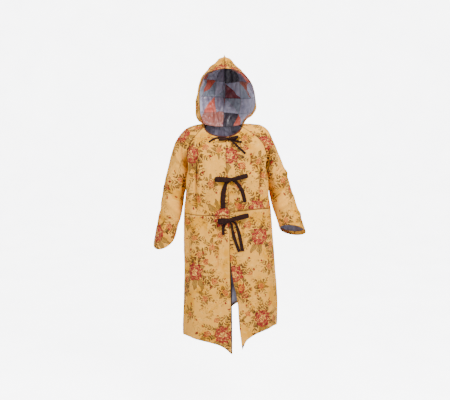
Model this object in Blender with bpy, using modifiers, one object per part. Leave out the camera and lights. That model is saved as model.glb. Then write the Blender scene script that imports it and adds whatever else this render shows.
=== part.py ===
"""A hooded tapestry coat, filled out as it is worn, with no wearer in it.

+Z is up, the front faces -Y and the wearer's left is +X.  The origin is in the neck
opening, on the line between the shoulders.  Lengths are in metres.

Every panel is a grid of points on the coat's outer side.  Neighbouring panels share
the points of their seam.  A wall is then built inwards from each grid.
"""

import math

import bpy
import numpy as np
from mathutils import Vector
from mathutils.bvhtree import BVHTree

COAT = "hooded_coat"

# Cloth
WALL = 0.0024
HOOD_WALL = 0.0018
LINING = 0.0012
SEAM_GAP = 0.0003
LAYER_GAP = 0.0006
LAP_DROP = 0.0052
LINING_EASE = 0.0050

# Ribbon and edge strips
RIBBON = 0.0014
KNOT_SIZE = (0.022, 0.013, 0.018)
BINDING_WIDTH = 0.0065
BINDING_THICKNESS = 0.0008
FACING_SHOWS = 0.0070
FACING_UNDER = 0.0120

# Number of cells along each panel
FRONT_COLUMNS = 12
BACK_COLUMNS = 16
YOKE_ROWS = 8
BODICE_ROWS = 6
SKIRT_ROWS = 12
NECK_CELLS = 4
SHOULDER_ROWS = 7
ARM_ROWS = 10
HOOD_ROWS = 12

# The body of the coat, from the arm seams down to the hem: half width to the wearer's
# right and left, depth in front and behind, squareness of the corners (1 is round) and
# how far the side is pressed in beside each arm.
#        z     right   left   front  back   round  dent_r  dent_l
TORSO = (
    (-0.14, 0.2135, 0.2085, 0.117, 0.106, 0.66, 0.0400, 0.0420),
    (-0.19, 0.2160, 0.2120, 0.126, 0.114, 0.66, 0.0440, 0.0470),
    (-0.23, 0.2175, 0.2130, 0.131, 0.117, 0.66, 0.0380, 0.0400),
    (-0.27, 0.2185, 0.2140, 0.134, 0.118, 0.67, 0.0280, 0.0285),
    (-0.33, 0.2185, 0.2140, 0.133, 0.116, 0.68, 0.0155, 0.0145),
    (-0.37, 0.2188, 0.2145, 0.130, 0.114, 0.70, 0.0060, 0.0040),
    (-0.42, 0.2190, 0.2185, 0.128, 0.113, 0.72, 0.0, 0.0),
    (-0.50, 0.2200, 0.2250, 0.132, 0.118, 0.74, 0.0, 0.0),
    (-0.60, 0.2206, 0.2330, 0.138, 0.126, 0.76, 0.0, 0.0),
    (-0.70, 0.2190, 0.2415, 0.143, 0.134, 0.78, 0.0, 0.0),
    (-0.80, 0.2210, 0.2500, 0.147, 0.142, 0.80, 0.0, 0.0),
    (-0.90, 0.2240, 0.2570, 0.152, 0.148, 0.80, 0.0, 0.0),
    (-1.00, 0.2290, 0.2560, 0.157, 0.153, 0.80, 0.0, 0.0),
    (-1.12, 0.2290, 0.2540, 0.162, 0.158, 0.80, 0.0, 0.0),
)
DENT_CENTRE = 0.004
DENT_WIDTH = 0.060

# The front edges.  The wearer's right front laps over the left one, and the two part
# towards the hem.
#              z      right    left
FRONT_EDGE = (
    (-0.05, -0.0040, -0.0240),
    (-0.10, -0.0070, -0.0270),
    (-0.20, -0.0070, -0.0270),
    (-0.24, 0.0000, -0.0200),
    (-0.27, 0.0060, -0.0150),
    (-0.35, 0.0080, -0.0120),
    (-0.43, 0.0100, -0.0100),
    (-0.55, 0.0110, 0.0010),
    (-0.65, 0.0120, 0.0118),
    (-0.74, 0.0135, 0.0240),
    (-0.80, 0.0155, 0.0385),
    (-0.87, 0.0172, 0.0500),
    (-0.96, 0.0185, 0.0560),
    (-1.04, 0.0195, 0.0655),
    (-1.11, 0.0195, 0.0750),
)

# Heights of the waist seam and the hem at a fraction of each panel's width.
#               at    right front  left front
WAIST_FRONT = (
    (0.0, -0.430, -0.418),
    (0.5, -0.431, -0.401),
    (1.0, -0.424, -0.408),
)
HEM_FRONT = (
    (0.00, -1.117, -1.097),
    (0.06, -1.097, -1.065),
    (0.13, -1.080, -1.044),
    (0.25, -1.066, -1.023),
    (0.42, -1.053, -1.006),
    (0.65, -1.046, -0.999),
    (1.00, -1.062, -1.010),
)
#               at    back panel, from the wearer's right side to the left
WAIST_BACK = (
    (0.0, -0.424),
    (0.5, -0.410),
    (1.0, -0.408),
)
HEM_BACK = (
    (0.00, -1.062),
    (0.22, -1.020),
    (0.42, -0.992),
    (0.50, -0.978),
    (0.57, -0.946),
    (0.70, -0.944),
    (1.00, -1.010),
)
YOKE_LINE_CENTRE = -0.160
YOKE_LINE_SIDE = -0.186

# Points on the neckline.
NECK_FRONT_RIGHT = (
    (-0.0040, -0.0905, -0.0500),
    (-0.0380, -0.0885, -0.0475),
    (-0.0700, -0.0805, -0.0405),
    (-0.0940, -0.0670, -0.0280),
    (-0.1160, -0.0450, -0.0060),
)
NECK_FRONT_LEFT = (
    (-0.0240, -0.0905, -0.0505),
    (0.0050, -0.0890, -0.0480),
    (0.0340, -0.0805, -0.0370),
    (0.0540, -0.0680, -0.0235),
    (0.0715, -0.0450, -0.0030),
)
NECK_REST = (
    (-0.1160, -0.0450, -0.0060),
    (-0.1240, 0.0040, 0.0120),
    (-0.1050, 0.0520, 0.0060),
    (-0.0650, 0.0755, 0.0000),
    (-0.0210, 0.0820, -0.0020),
    (0.0230, 0.0755, 0.0000),
    (0.0620, 0.0520, 0.0060),
    (0.0810, 0.0040, 0.0120),
    (0.0715, -0.0450, -0.0030),
)

# The raglan seams, from under the arm up to the neck.
RAGLAN = {
    ("right", "front"): (
        (-0.1720, 0.0040, -0.1860),
        (-0.1800, -0.0120, -0.1840),
        (-0.1965, -0.0320, -0.1700),
        (-0.2005, -0.0520, -0.1480),
        (-0.1925, -0.0690, -0.1120),
        (-0.1820, -0.0800, -0.0820),
        (-0.1690, -0.0860, -0.0590),
        (-0.1510, -0.0820, -0.0390),
        (-0.1340, -0.0670, -0.0210),
        (-0.1160, -0.0450, -0.0060),
    ),
    ("left", "front"): (
        (0.1650, 0.0040, -0.1860),
        (0.1730, -0.0120, -0.1830),
        (0.1890, -0.0320, -0.1690),
        (0.1935, -0.0520, -0.1470),
        (0.1830, -0.0690, -0.1100),
        (0.1700, -0.0790, -0.0790),
        (0.1500, -0.0850, -0.0570),
        (0.1250, -0.0830, -0.0380),
        (0.0990, -0.0680, -0.0200),
        (0.0715, -0.0450, -0.0030),
    ),
    ("right", "back"): (
        (-0.1720, 0.0040, -0.1860),
        (-0.1810, 0.0200, -0.1820),
        (-0.1935, 0.0420, -0.1660),
        (-0.1930, 0.0620, -0.1400),
        (-0.1810, 0.0800, -0.1060),
        (-0.1640, 0.0890, -0.0740),
        (-0.1440, 0.0870, -0.0440),
        (-0.1240, 0.0720, -0.0160),
        (-0.1050, 0.0520, 0.0060),
    ),
    ("left", "back"): (
        (0.1650, 0.0040, -0.1860),
        (0.1740, 0.0200, -0.1820),
        (0.1860, 0.0420, -0.1660),
        (0.1840, 0.0620, -0.1400),
        (0.1680, 0.0800, -0.1060),
        (0.1450, 0.0890, -0.0740),
        (0.1160, 0.0870, -0.0440),
        (0.0880, 0.0720, -0.0160),
        (0.0620, 0.0520, 0.0060),
    ),
}

# The line over the top of each shoulder, from the neck out to the arm.
SHOULDER_TOP = {
    "right": (
        (-0.1240, 0.0120),
        (-0.1660, 0.0070),
        (-0.2060, -0.0060),
        (-0.2310, -0.0280),
        (-0.2470, -0.0520),
        (-0.2660, -0.0890),
        (-0.2810, -0.1290),
        (-0.2923, -0.1890),
    ),
    "left": (
        (0.0810, 0.0120),
        (0.1410, 0.0125),
        (0.1720, 0.0085),
        (0.1950, -0.0040),
        (0.2125, -0.0270),
        (0.2260, -0.0690),
        (0.2460, -0.1090),
        (0.2770, -0.1870),
    ),
}

# Sections of the sleeves below the arm seam: the inner and the outer point as seen from
# the front, the middle's depth, the half depth and how far the front edge drops.
#    inner x  inner z  outer x  outer z    y      deep    drop
ARM = {
    "right": (
        (-0.1790, -0.215, -0.2923, -0.189, 0.004, 0.066, 0.000),
        (-0.1890, -0.255, -0.3045, -0.235, 0.004, 0.064, 0.000),
        (-0.2010, -0.298, -0.3170, -0.281, 0.003, 0.062, 0.000),
        (-0.2115, -0.342, -0.3265, -0.328, 0.001, 0.061, 0.000),
        (-0.2215, -0.386, -0.3345, -0.376, -0.002, 0.060, 0.002),
        (-0.2290, -0.425, -0.3425, -0.424, -0.006, 0.059, 0.006),
        (-0.2370, -0.463, -0.3525, -0.473, -0.010, 0.058, 0.014),
        (-0.2500, -0.506, -0.3635, -0.530, -0.014, 0.058, 0.024),
        (-0.2620, -0.549, -0.3740, -0.590, -0.018, 0.059, 0.034),
    ),
    "left": (
        (0.1730, -0.215, 0.2770, -0.187, 0.004, 0.066, 0.000),
        (0.1860, -0.255, 0.2930, -0.229, 0.004, 0.064, 0.000),
        (0.1980, -0.298, 0.3085, -0.269, 0.003, 0.062, 0.000),
        (0.2085, -0.340, 0.3210, -0.312, 0.001, 0.061, 0.000),
        (0.2195, -0.375, 0.3345, -0.352, -0.003, 0.060, 0.000),
        (0.2290, -0.408, 0.3475, -0.394, -0.008, 0.060, -0.004),
        (0.2385, -0.438, 0.3600, -0.431, -0.014, 0.060, -0.009),
        (0.2490, -0.469, 0.3740, -0.474, -0.021, 0.061, -0.020),
        (0.2614, -0.508, 0.3940, -0.530, -0.028, 0.062, -0.034),
    ),
}

# Sections of the hood, one row from the front edge round to the centre seam: the front
# edge, the side, the back quarter and the seam.  Only x differs between the halves.
HOOD = (
    # front edge: right x, left x, y, z      side: right x, left x, y, z
    # quarter: right x, left x, y, z         seam: x, y, z
    ((-0.1240, 0.0800, -0.048, 0.024), (-0.1570, 0.1040, 0.010, 0.034),
     (-0.1160, 0.0760, 0.075, 0.030), (-0.0200, 0.105, 0.035)),
    ((-0.1330, 0.1100, -0.052, 0.052), (-0.1590, 0.1330, 0.015, 0.066),
     (-0.1200, 0.0920, 0.090, 0.066), (-0.0180, 0.128, 0.075)),
    ((-0.1365, 0.1345, -0.055, 0.090), (-0.1560, 0.1370, 0.020, 0.108),
     (-0.1200, 0.0980, 0.100, 0.112), (-0.0165, 0.142, 0.125)),
    ((-0.1385, 0.1340, -0.056, 0.150), (-0.1505, 0.1310, 0.020, 0.152),
     (-0.1140, 0.0930, 0.103, 0.160), (-0.0150, 0.149, 0.175)),
    ((-0.1310, 0.1160, -0.054, 0.205), (-0.1400, 0.1155, 0.020, 0.207),
     (-0.1020, 0.0780, 0.105, 0.216), (-0.0145, 0.150, 0.225)),
    ((-0.1100, 0.0850, -0.048, 0.247), (-0.1240, 0.0900, 0.025, 0.247),
     (-0.0830, 0.0600, 0.106, 0.264), (-0.0145, 0.147, 0.270)),
    ((-0.0740, 0.0560, -0.042, 0.2655), (-0.0920, 0.0550, 0.045, 0.285),
     (-0.0540, 0.0300, 0.108, 0.304), (-0.0150, 0.140, 0.310)),
    ((-0.0390, 0.0230, -0.038, 0.2745), (-0.0520, 0.0230, 0.075, 0.326),
     (-0.0320, 0.0030, 0.110, 0.336), (-0.0153, 0.131, 0.338)),
    ((-0.0120, -0.0120, -0.036, 0.2785), (-0.0145, -0.0145, 0.060, 0.3350),
     (-0.0150, -0.0150, 0.092, 0.349), (-0.0155, 0.118, 0.358)),
)

# Large folds of the front and the back: a line from (x, z) to (x, z), its half width and
# how far it stands out (or goes in, below zero).
FRONT_FOLDS = (
    ((0.094, -0.045), (0.100, -0.240), 0.026, 0.0050),
    ((0.130, -0.075), (0.134, -0.220), 0.022, -0.0045),
    ((-0.146, -0.170), (-0.150, -0.400), 0.024, -0.0055),
    ((-0.095, -0.130), (-0.085, -0.300), 0.030, 0.0040),
    ((-0.050, -0.480), (-0.048, -0.700), 0.022, -0.0050),
    ((0.060, -0.300), (0.110, -0.400), 0.024, 0.0040),
)
BACK_FOLDS = (
    ((0.020, -0.120), (0.000, -0.380), 0.040, -0.0060),
    ((-0.090, -0.140), (-0.070, -0.360), 0.035, 0.0050),
    ((0.110, -0.200), (0.080, -0.400), 0.030, 0.0045),
)

# Folds of the skirt that grow towards the hem.  The angle goes round from the centre
# front, by the wearer's left side, in degrees.
#            angle  half width  depth at the hem  starts at z
HEM_FOLDS = (
    (38.0, 13.0, 0.0080, -0.60),
    (62.0, 11.0, -0.0070, -0.55),
    (118.0, 16.0, 0.0090, -0.50),
    (150.0, 14.0, -0.0120, -0.48),
    (178.0, 15.0, 0.0110, -0.45),
    (208.0, 14.0, -0.0110, -0.50),
    (240.0, 15.0, 0.0090, -0.55),
    (300.0, 12.0, -0.0060, -0.60),
    (326.0, 12.0, 0.0070, -0.62),
)

# Folds of the sleeves: place along the sleeve (0 at the arm seam, 1 at the cuff), place
# round it in degrees (0 outside, 90 in front, 180 inside), half length, half turn, height.
SLEEVE_FOLDS = (
    (0.36, 100.0, 0.060, 60.0, -0.0050),
    (0.48, 70.0, 0.060, 70.0, 0.0040),
    (0.60, 150.0, 0.060, 60.0, -0.0050),
    (0.66, 60.0, 0.055, 60.0, -0.0030),
    (0.78, 120.0, 0.060, 70.0, 0.0035),
    (0.50, 290.0, 0.070, 70.0, -0.0045),
    (0.70, 250.0, 0.060, 60.0, 0.0040),
)

# The bows.  A knot, loops that go out and come back, and free tails, as (x, z) points on
# the coat's front.  Widths are in the last column.
BOWS = {
    "bow_neck": {
        "knot": (0.008, -0.060),
        "loops": (
            ((0.006, -0.059), (-0.042, -0.063), 0.013),
            ((0.010, -0.059), (0.050, -0.050), 0.014),
        ),
        "tails": (
            (((0.006, -0.060), (-0.030, -0.054), (-0.062, -0.059), (-0.090, -0.075)), 0.009),
            (((0.010, -0.062), (0.040, -0.070), (0.068, -0.075)), 0.010),
            (((0.010, -0.063), (0.036, -0.085), (0.062, -0.108), (0.085, -0.130)), 0.010),
        ),
    },
    "bow_middle": {
        "knot": (0.018, -0.254),
        "loops": (
            ((0.016, -0.254), (-0.061, -0.252), 0.021),
            ((0.020, -0.253), (0.096, -0.234), 0.018),
        ),
        "tails": (
            (((0.020, -0.256), (0.040, -0.268), (0.060, -0.290), (0.074, -0.322), (0.084, -0.362)), 0.013),
            (((0.014, -0.257), (-0.006, -0.272), (-0.018, -0.308), (-0.023, -0.351), (-0.021, -0.393)), 0.017),
        ),
    },
    "bow_lower": {
        "knot": (0.010, -0.452),
        "loops": (
            ((0.008, -0.452), (-0.046, -0.458), 0.024),
            ((0.012, -0.450), (0.101, -0.428), 0.019),
        ),
        "tails": (
            (((0.006, -0.455), (-0.016, -0.472), (-0.021, -0.497), (-0.020, -0.524)), 0.010),
            (((0.012, -0.456), (0.020, -0.480), (0.029, -0.525), (0.042, -0.566), (0.057, -0.606)), 0.011),
            (((0.014, -0.455), (0.036, -0.466), (0.051, -0.500), (0.062, -0.545), (0.073, -0.602)), 0.012),
        ),
    },
}

# Colours: red, green, blue, roughness
BROCADE = (0.74, 0.47, 0.20, 0.75)
SATIN = (0.20, 0.18, 0.22, 0.45)
PATCHWORK = (0.24, 0.10, 0.08, 0.60)
BINDING = (0.08, 0.02, 0.02, 0.70)
VELVET = (0.02, 0.006, 0.008, 0.80)


# Curves and tables

def smooth_table(rows, at):
    """The row of values at a place between the table's rows, on a smooth curve."""
    data = np.array(rows, dtype=float)
    keys = data[:, 0]
    values = data[:, 1:]
    if keys[0] > keys[-1]:
        keys = keys[::-1]
        values = values[::-1]
    at = min(max(at, keys[0]), keys[-1])
    k = int(min(max(np.searchsorted(keys, at) - 1, 0), len(keys) - 2))
    span = keys[k + 1] - keys[k]
    t = (at - keys[k]) / span
    slope = (values[k + 1] - values[k]) / span
    before = slope
    after = slope
    if k > 0:
        before = (values[k + 1] - values[k - 1]) / (keys[k + 1] - keys[k - 1])
    if k < len(keys) - 2:
        after = (values[k + 2] - values[k]) / (keys[k + 2] - keys[k])
    h1 = 2 * t**3 - 3 * t**2 + 1
    h2 = t**3 - 2 * t**2 + t
    h3 = -2 * t**3 + 3 * t**2
    h4 = t**3 - t**2
    return h1 * values[k] + h2 * span * before + h3 * values[k + 1] + h4 * span * after


def smooth_curve(points, steps=24):
    """A fine curve through the points, and the index of each point on it."""
    p = np.array(points, dtype=float)
    first = 2 * p[0] - p[1]
    last = 2 * p[-1] - p[-2]
    q = np.vstack([first, p, last])
    fine = []
    for k in range(1, len(q) - 2):
        for s in range(steps):
            t = s / steps
            a = 2 * q[k]
            b = q[k + 1] - q[k - 1]
            c = 2 * q[k - 1] - 5 * q[k] + 4 * q[k + 1] - q[k + 2]
            d = -q[k - 1] + 3 * q[k] - 3 * q[k + 1] + q[k + 2]
            fine.append(0.5 * (a + b * t + c * t**2 + d * t**3))
    fine.append(p[-1])
    return np.array(fine), [k * steps for k in range(len(p))]


def evenly(line, cells):
    """cells + 1 points at equal steps along a fine line."""
    steps = np.linalg.norm(np.diff(line, axis=0), axis=1)
    length = np.concatenate([[0.0], np.cumsum(steps)])
    wanted = np.linspace(0.0, length[-1], cells + 1)
    result = np.stack([np.interp(wanted, length, line[:, k]) for k in range(line.shape[1])], axis=1)
    result[0] = line[0]
    result[-1] = line[-1]
    return result


def smooth_step(value):
    """0 below 0, 1 above 1, and a soft slope between."""
    t = min(max(value, 0.0), 1.0)
    return t * t * (3 - 2 * t)


# The coat's body

def section_point(z, angle):
    """A point of the section at height z.  The angle starts at the centre front."""
    right, left, front, back, power, dent_right, dent_left = smooth_table(TORSO, z)
    s = math.sin(angle)
    c = math.cos(angle)
    across = math.copysign(abs(s) ** power, s)
    deep = math.copysign(abs(c) ** power, c)
    half = left if s > 0 else right
    dent = dent_left if s > 0 else dent_right
    y = -deep * (front if c > 0 else back)
    x = across * half
    pressed = dent * math.exp(-(((y - DENT_CENTRE) / DENT_WIDTH) ** 4))
    x -= math.copysign(min(pressed, abs(x)), s) if abs(x) > 0.08 else 0.0
    return np.array([x, y, z])


def angle_at(z, x):
    """The angle on the front of the section at height z where it has this x."""
    right, left, front, back, power, dent_right, dent_left = smooth_table(TORSO, z)
    half = left if x > 0 else right
    return math.copysign(math.asin((abs(x) / half) ** (1 / power)), x)


def along_section(z, start, end, fraction):
    """The point at a fraction of the section's length between two angles."""
    if fraction <= 0.0:
        return section_point(z, start)
    if fraction >= 1.0:
        return section_point(z, end)
    line = np.array([section_point(z, start + (end - start) * k / 60) for k in range(61)])
    steps = np.linalg.norm(np.diff(line, axis=0), axis=1)
    length = np.concatenate([[0.0], np.cumsum(steps)])
    at = fraction * length[-1]
    return np.array([np.interp(at, length, line[:, k]) for k in range(3)])


def fold_height(x, y, z):
    """How far the large folds lift the body of the coat at a point."""
    height = 0.0
    folds = FRONT_FOLDS if y < 0 else BACK_FOLDS
    for top, bottom, width, depth in folds:
        ax, az = top
        bx, bz = bottom
        dx = bx - ax
        dz = bz - az
        t = ((x - ax) * dx + (z - az) * dz) / (dx * dx + dz * dz)
        ends = smooth_step(min(t + 0.25, 1.25 - t) / 0.4)
        away = abs((x - ax) * dz - (z - az) * dx) / math.hypot(dx, dz)
        height += depth * ends * math.exp(-((away / width) ** 2))
    angle = math.degrees(math.atan2(x / 0.225, -y / 0.140)) % 360.0
    for centre, width, depth, start in HEM_FOLDS:
        turn = abs((angle - centre + 180.0) % 360.0 - 180.0)
        grown = smooth_step((start - z) / (start + 1.02))
        height += depth * grown * math.exp(-((turn / width) ** 2))
    return height


def with_folds(point):
    """A body point moved out by the folds, square to the section."""
    x, y, z = point
    outward = np.array([x / 0.225**2, y / 0.140**2, 0.0])
    outward /= np.linalg.norm(outward)
    return point + outward * fold_height(x, y, z)


def tuck_under(grid, over):
    """Lays the left front under the right one near the centre, down to where they part."""
    tree = surface_tree(over)
    for point in grid.reshape(-1, 3):
        edge = smooth_table(FRONT_EDGE, point[2])[0]
        near = 1.0 - smooth_step((point[0] - edge - 0.014) / 0.045)
        near *= smooth_step((point[2] + 0.95) / 0.15)
        start = Vector((min(point[0], edge - 0.001), -1.0, point[2]))
        hit = tree.ray_cast(start, Vector((0.0, 1.0, 0.0)))[0]
        if hit is None:
            start.y = point[1]
            hit = tree.find_nearest(start)[0]
        point[1] = point[1] * (1 - near) + (hit.y + LAP_DROP) * near


def surface_tree(grid):
    """A search tree of a grid's surface."""
    rows, columns = grid.shape[:2]
    points = [Vector(p) for p in grid.reshape(-1, 3)]
    faces = []
    for i in range(rows - 1):
        for j in range(columns - 1):
            a = i * columns + j
            faces.append((a, a + 1, a + columns + 1))
            faces.append((a, a + columns + 1, a + columns))
    return BVHTree.FromPolygons(points, faces)


def front_point(side, z, fraction):
    """A point of a front panel, from its centre edge (0) to the side seam (1)."""
    right_edge, left_edge = smooth_table(FRONT_EDGE, z)
    if side == "right":
        start = angle_at(z, right_edge)
        end = -math.pi / 2
    else:
        start = angle_at(z, left_edge)
        end = math.pi / 2
    return with_folds(along_section(z, start, end, fraction))


def back_point(z, fraction):
    """A point of the back panel, from the wearer's right side seam to the left one."""
    return with_folds(along_section(z, -math.pi / 2, -3 * math.pi / 2, fraction))


def coons(bottom, top, start, end):
    """A grid between four edges that meet at their ends."""
    rows = len(start) - 1
    columns = len(bottom) - 1
    grid = []
    for i in range(rows + 1):
        v = i / rows
        row = []
        for j in range(columns + 1):
            u = j / columns
            between = (1 - v) * bottom[j] + v * top[j]
            across = (1 - u) * start[i] + u * end[i]
            corners = ((1 - u) * (1 - v) * bottom[0] + u * (1 - v) * bottom[-1]
                       + (1 - u) * v * top[0] + u * v * top[-1])
            row.append(between + across - corners)
        grid.append(row)
    return np.array(grid)


def relax(grid, rows, columns, rounds, edge=None):
    """Evens out the inside points of a grid, and one edge along itself."""
    for _ in range(rounds):
        before = grid.copy()
        for i in rows:
            if edge is not None:
                grid[i, edge] = 0.75 * before[i, edge] + 0.125 * (before[i - 1, edge] + before[i + 1, edge])
            for j in columns:
                around = before[i - 1, j] + before[i + 1, j] + before[i, j - 1] + before[i, j + 1]
                grid[i, j] = 0.5 * before[i, j] + 0.125 * around
    return grid


def bodice_front(side):
    """Rows from the neckline down to the waist seam, columns from the centre to the side."""
    pick = 0 if side == "right" else 1
    rows = []
    for i in range(BODICE_ROWS + 1):
        row = []
        for j in range(FRONT_COLUMNS + 1):
            u = j / FRONT_COLUMNS
            waist = smooth_table(WAIST_FRONT, u)[pick]
            yoke = YOKE_LINE_CENTRE + (YOKE_LINE_SIDE - YOKE_LINE_CENTRE) * u**2
            z = waist + (yoke - waist) * i / BODICE_ROWS
            row.append(front_point(side, z, u))
        rows.append(row)
    lower = np.array(rows)
    line = NECK_FRONT_RIGHT if side == "right" else NECK_FRONT_LEFT
    neck = evenly(smooth_curve(line)[0], FRONT_COLUMNS)
    raglan = evenly(smooth_curve(RAGLAN[side, "front"])[0], YOKE_ROWS)
    lower[-1, -1] = raglan[0]
    centre = []
    foot = lower[-1, 0]
    for i in range(YOKE_ROWS + 1):
        v = i / YOKE_ROWS
        z = foot[2] + (neck[0][2] - foot[2]) * v
        x = smooth_table(FRONT_EDGE, z)[pick]
        y = foot[1] + (neck[0][1] - foot[1]) * v**1.5
        centre.append(np.array([x, y, z]))
    centre[0] = foot
    centre[-1] = neck[0]
    upper = coons(lower[-1], neck, centre, raglan)
    for i in range(1, YOKE_ROWS):
        for j in range(1, FRONT_COLUMNS):
            swell = math.sin(math.pi * j / FRONT_COLUMNS) * math.sin(math.pi * i / YOKE_ROWS)
            swell *= smooth_step(abs(upper[i, j, 0] + 0.012) / 0.040)
            upper[i, j, 1] += 0.004 * swell
            upper[i, j] += np.array([0.0, -1.0, 0.0]) * fold_height(*upper[i, j])
    grid = np.concatenate([lower, upper[1:]])
    inside = range(1, FRONT_COLUMNS)
    around_yoke = range(BODICE_ROWS - 1, BODICE_ROWS + YOKE_ROWS)
    return relax(grid, around_yoke, inside, 3, edge=0)[::-1].copy(), raglan


def bodice_back():
    """Rows from the neck down to the waist seam, columns from the right side to the left."""
    rows = []
    for i in range(BODICE_ROWS + 1):
        row = []
        for j in range(BACK_COLUMNS + 1):
            u = j / BACK_COLUMNS
            waist = smooth_table(WAIST_BACK, u)[0]
            near_side = abs(2 * u - 1)
            yoke = YOKE_LINE_CENTRE + (YOKE_LINE_SIDE - YOKE_LINE_CENTRE) * near_side**2
            z = waist + (yoke - waist) * i / BODICE_ROWS
            row.append(back_point(z, u))
        rows.append(row)
    lower = np.array(rows)
    right = evenly(smooth_curve(RAGLAN["right", "back"])[0], YOKE_ROWS)
    left = evenly(smooth_curve(RAGLAN["left", "back"])[0], YOKE_ROWS)
    lower[-1, 0] = right[0]
    lower[-1, -1] = left[0]
    upper = coons(lower[-1], neck_parts()["back"], right, left)
    for i in range(1, YOKE_ROWS):
        for j in range(1, BACK_COLUMNS):
            flatten = math.sin(math.pi * j / BACK_COLUMNS) * math.sin(math.pi * i / YOKE_ROWS)
            upper[i, j, 1] -= 0.032 * flatten
            upper[i, j, 1] += fold_height(*upper[i, j])
    grid = np.concatenate([lower, upper[1:]])
    around_yoke = range(BODICE_ROWS - 1, BODICE_ROWS + YOKE_ROWS)
    return relax(grid, around_yoke, range(1, BACK_COLUMNS), 3)[::-1], right, left


def skirt_front(side, top):
    """Rows from the waist seam down to the hem, under the bodice's lowest row."""
    pick = 0 if side == "right" else 1
    rows = []
    for i in range(1, SKIRT_ROWS + 1):
        row = []
        for j in range(FRONT_COLUMNS + 1):
            u = j / FRONT_COLUMNS
            waist = smooth_table(WAIST_FRONT, u)[pick]
            hem = smooth_table(HEM_FRONT, u)[pick]
            z = waist + (hem - waist) * i / SKIRT_ROWS
            row.append(front_point(side, z, u))
        rows.append(row)
    return np.concatenate([[top], rows])


def skirt_back(top):
    """Rows from the waist seam down to the hem, under the bodice back's lowest row."""
    rows = [top]
    for i in range(1, SKIRT_ROWS + 1):
        row = []
        for j in range(BACK_COLUMNS + 1):
            u = j / BACK_COLUMNS
            waist = smooth_table(WAIST_BACK, u)[0]
            hem = smooth_table(HEM_BACK, u)[0]
            z = waist + (hem - waist) * i / SKIRT_ROWS
            row.append(back_point(z, u))
        rows.append(row)
    return np.array(rows)


def neck_parts():
    """The neckline behind the front panels, cut into the sleeves' parts and the back's."""
    fine, marks = smooth_curve(NECK_REST)
    return {
        "right": evenly(fine[:marks[2] + 1], NECK_CELLS),
        "back": evenly(fine[marks[2]:marks[6] + 1], BACK_COLUMNS),
        "left": evenly(fine[marks[6]:], NECK_CELLS)[::-1],
    }


# Sleeves and hood

def sleeve(side, front_seam, back_seam):
    """Rings from the arm seam down to the cuff.  Column 0 is outside, then the front."""
    neck = neck_parts()[side]
    half = NECK_CELLS // 2
    loop = [neck[half - k] for k in range(half)]
    loop += [front_seam[YOKE_ROWS - k] for k in range(YOKE_ROWS + 1)]
    loop += [back_seam[k] for k in range(1, YOKE_ROWS + 1)]
    loop += [neck[NECK_CELLS - k] for k in range(1, half)]
    loop = np.array(loop)
    count = len(loop)
    arm_line = smooth_rows(ARM[side], ARM_ROWS)
    rings = [arm_ring(values, count) for values in arm_line]
    top = evenly(smooth_curve(SHOULDER_TOP[side])[0], SHOULDER_ROWS)
    grid = [loop]
    for i in range(1, SHOULDER_ROWS):
        t = i / SHOULDER_ROWS
        straight = loop[0] * (1 - t) + rings[0][0] * t
        rise = np.array([top[i][0] - straight[0], 0.0, top[i][1] - straight[2]])
        ring = []
        for j in range(count):
            share = math.cos(math.pi * j / count) ** 2
            stand_off = math.copysign(0.008 * math.sin(math.pi * t) * (1 - share), loop[0][0])
            point = loop[j] * (1 - t) + rings[0][j] * t + rise * share**0.9
            ring.append(point + np.array([stand_off, 0.0, 0.0]))
        grid.append(np.array(ring))
    grid += rings
    grid = np.array(grid)
    for _ in range(2):
        before = grid.copy()
        for i in range(1, SHOULDER_ROWS + 1):
            for j in range(count):
                if abs(j - count / 2) < 2 and i < 3:
                    continue
                beside = before[i, j - 1] + before[i, (j + 1) % count]
                along = before[i - 1, j] + before[i + 1, j]
                grid[i, j] = 0.6 * before[i, j] + 0.1 * beside + 0.1 * along
    return sleeve_folds(grid)


def smooth_rows(rows, cells):
    """Rows of a table taken at equal steps of its length, on a smooth curve."""
    return evenly(smooth_curve(rows)[0], cells)


def arm_ring(values, count):
    """One section of a sleeve."""
    inner_x, inner_z, outer_x, outer_z, y, deep, drop = values
    middle = np.array([(inner_x + outer_x) / 2, y, (inner_z + outer_z) / 2])
    out = np.array([outer_x, y, outer_z]) - middle
    front = np.array([0.0, -deep, -drop])
    ring = []
    for j in range(count):
        turn = 2 * math.pi * j / count
        ring.append(middle + out * math.cos(turn) + front * math.sin(turn))
    return np.array(ring)


def sleeve_folds(grid):
    """Lifts and presses the sleeve where its folds lie."""
    rows, count = grid.shape[:2]
    result = grid.copy()
    for i in range(SHOULDER_ROWS - 1, rows - 1):
        middle = grid[i].mean(axis=0)
        for j in range(count):
            outward = grid[i, j] - middle
            outward /= np.linalg.norm(outward)
            height = 0.0
            for place, turn, length, width, depth in SLEEVE_FOLDS:
                along = (i / (rows - 1) - place) / length
                round_it = abs((360.0 * j / count - turn + 180.0) % 360.0 - 180.0) / width
                height += depth * math.exp(-(along**2) - round_it**2)
            result[i, j] += outward * height
    return result


def hood_half(side):
    """Rows from the neck up to the ridge, columns from the front edge to the seam."""
    pick = 0 if side == "right" else 1
    parts = neck_parts()
    half = BACK_COLUMNS // 2
    if side == "right":
        base = np.concatenate([parts["right"], parts["back"][1:half + 1]])
    else:
        base = np.concatenate([parts["left"], parts["back"][half:-1][::-1]])
    columns = len(base) - 1
    sections = []
    for front, beside, quarter, seam in HOOD:
        line = (
            (front[pick], front[2], front[3]),
            (beside[pick], beside[2], beside[3]),
            (quarter[pick], quarter[2], quarter[3]),
            seam,
        )
        sections.append(evenly(smooth_curve(line)[0], columns))
    rows = [base] + sections
    grid = []
    for j in range(columns + 1):
        upward = smooth_curve([row[j] for row in rows])[0]
        grid.append(evenly(upward, HOOD_ROWS))
    return np.array(grid).transpose(1, 0, 2)


# Walls

def point_key(point):
    return tuple(int(round(v * 1e6)) for v in point)


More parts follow.
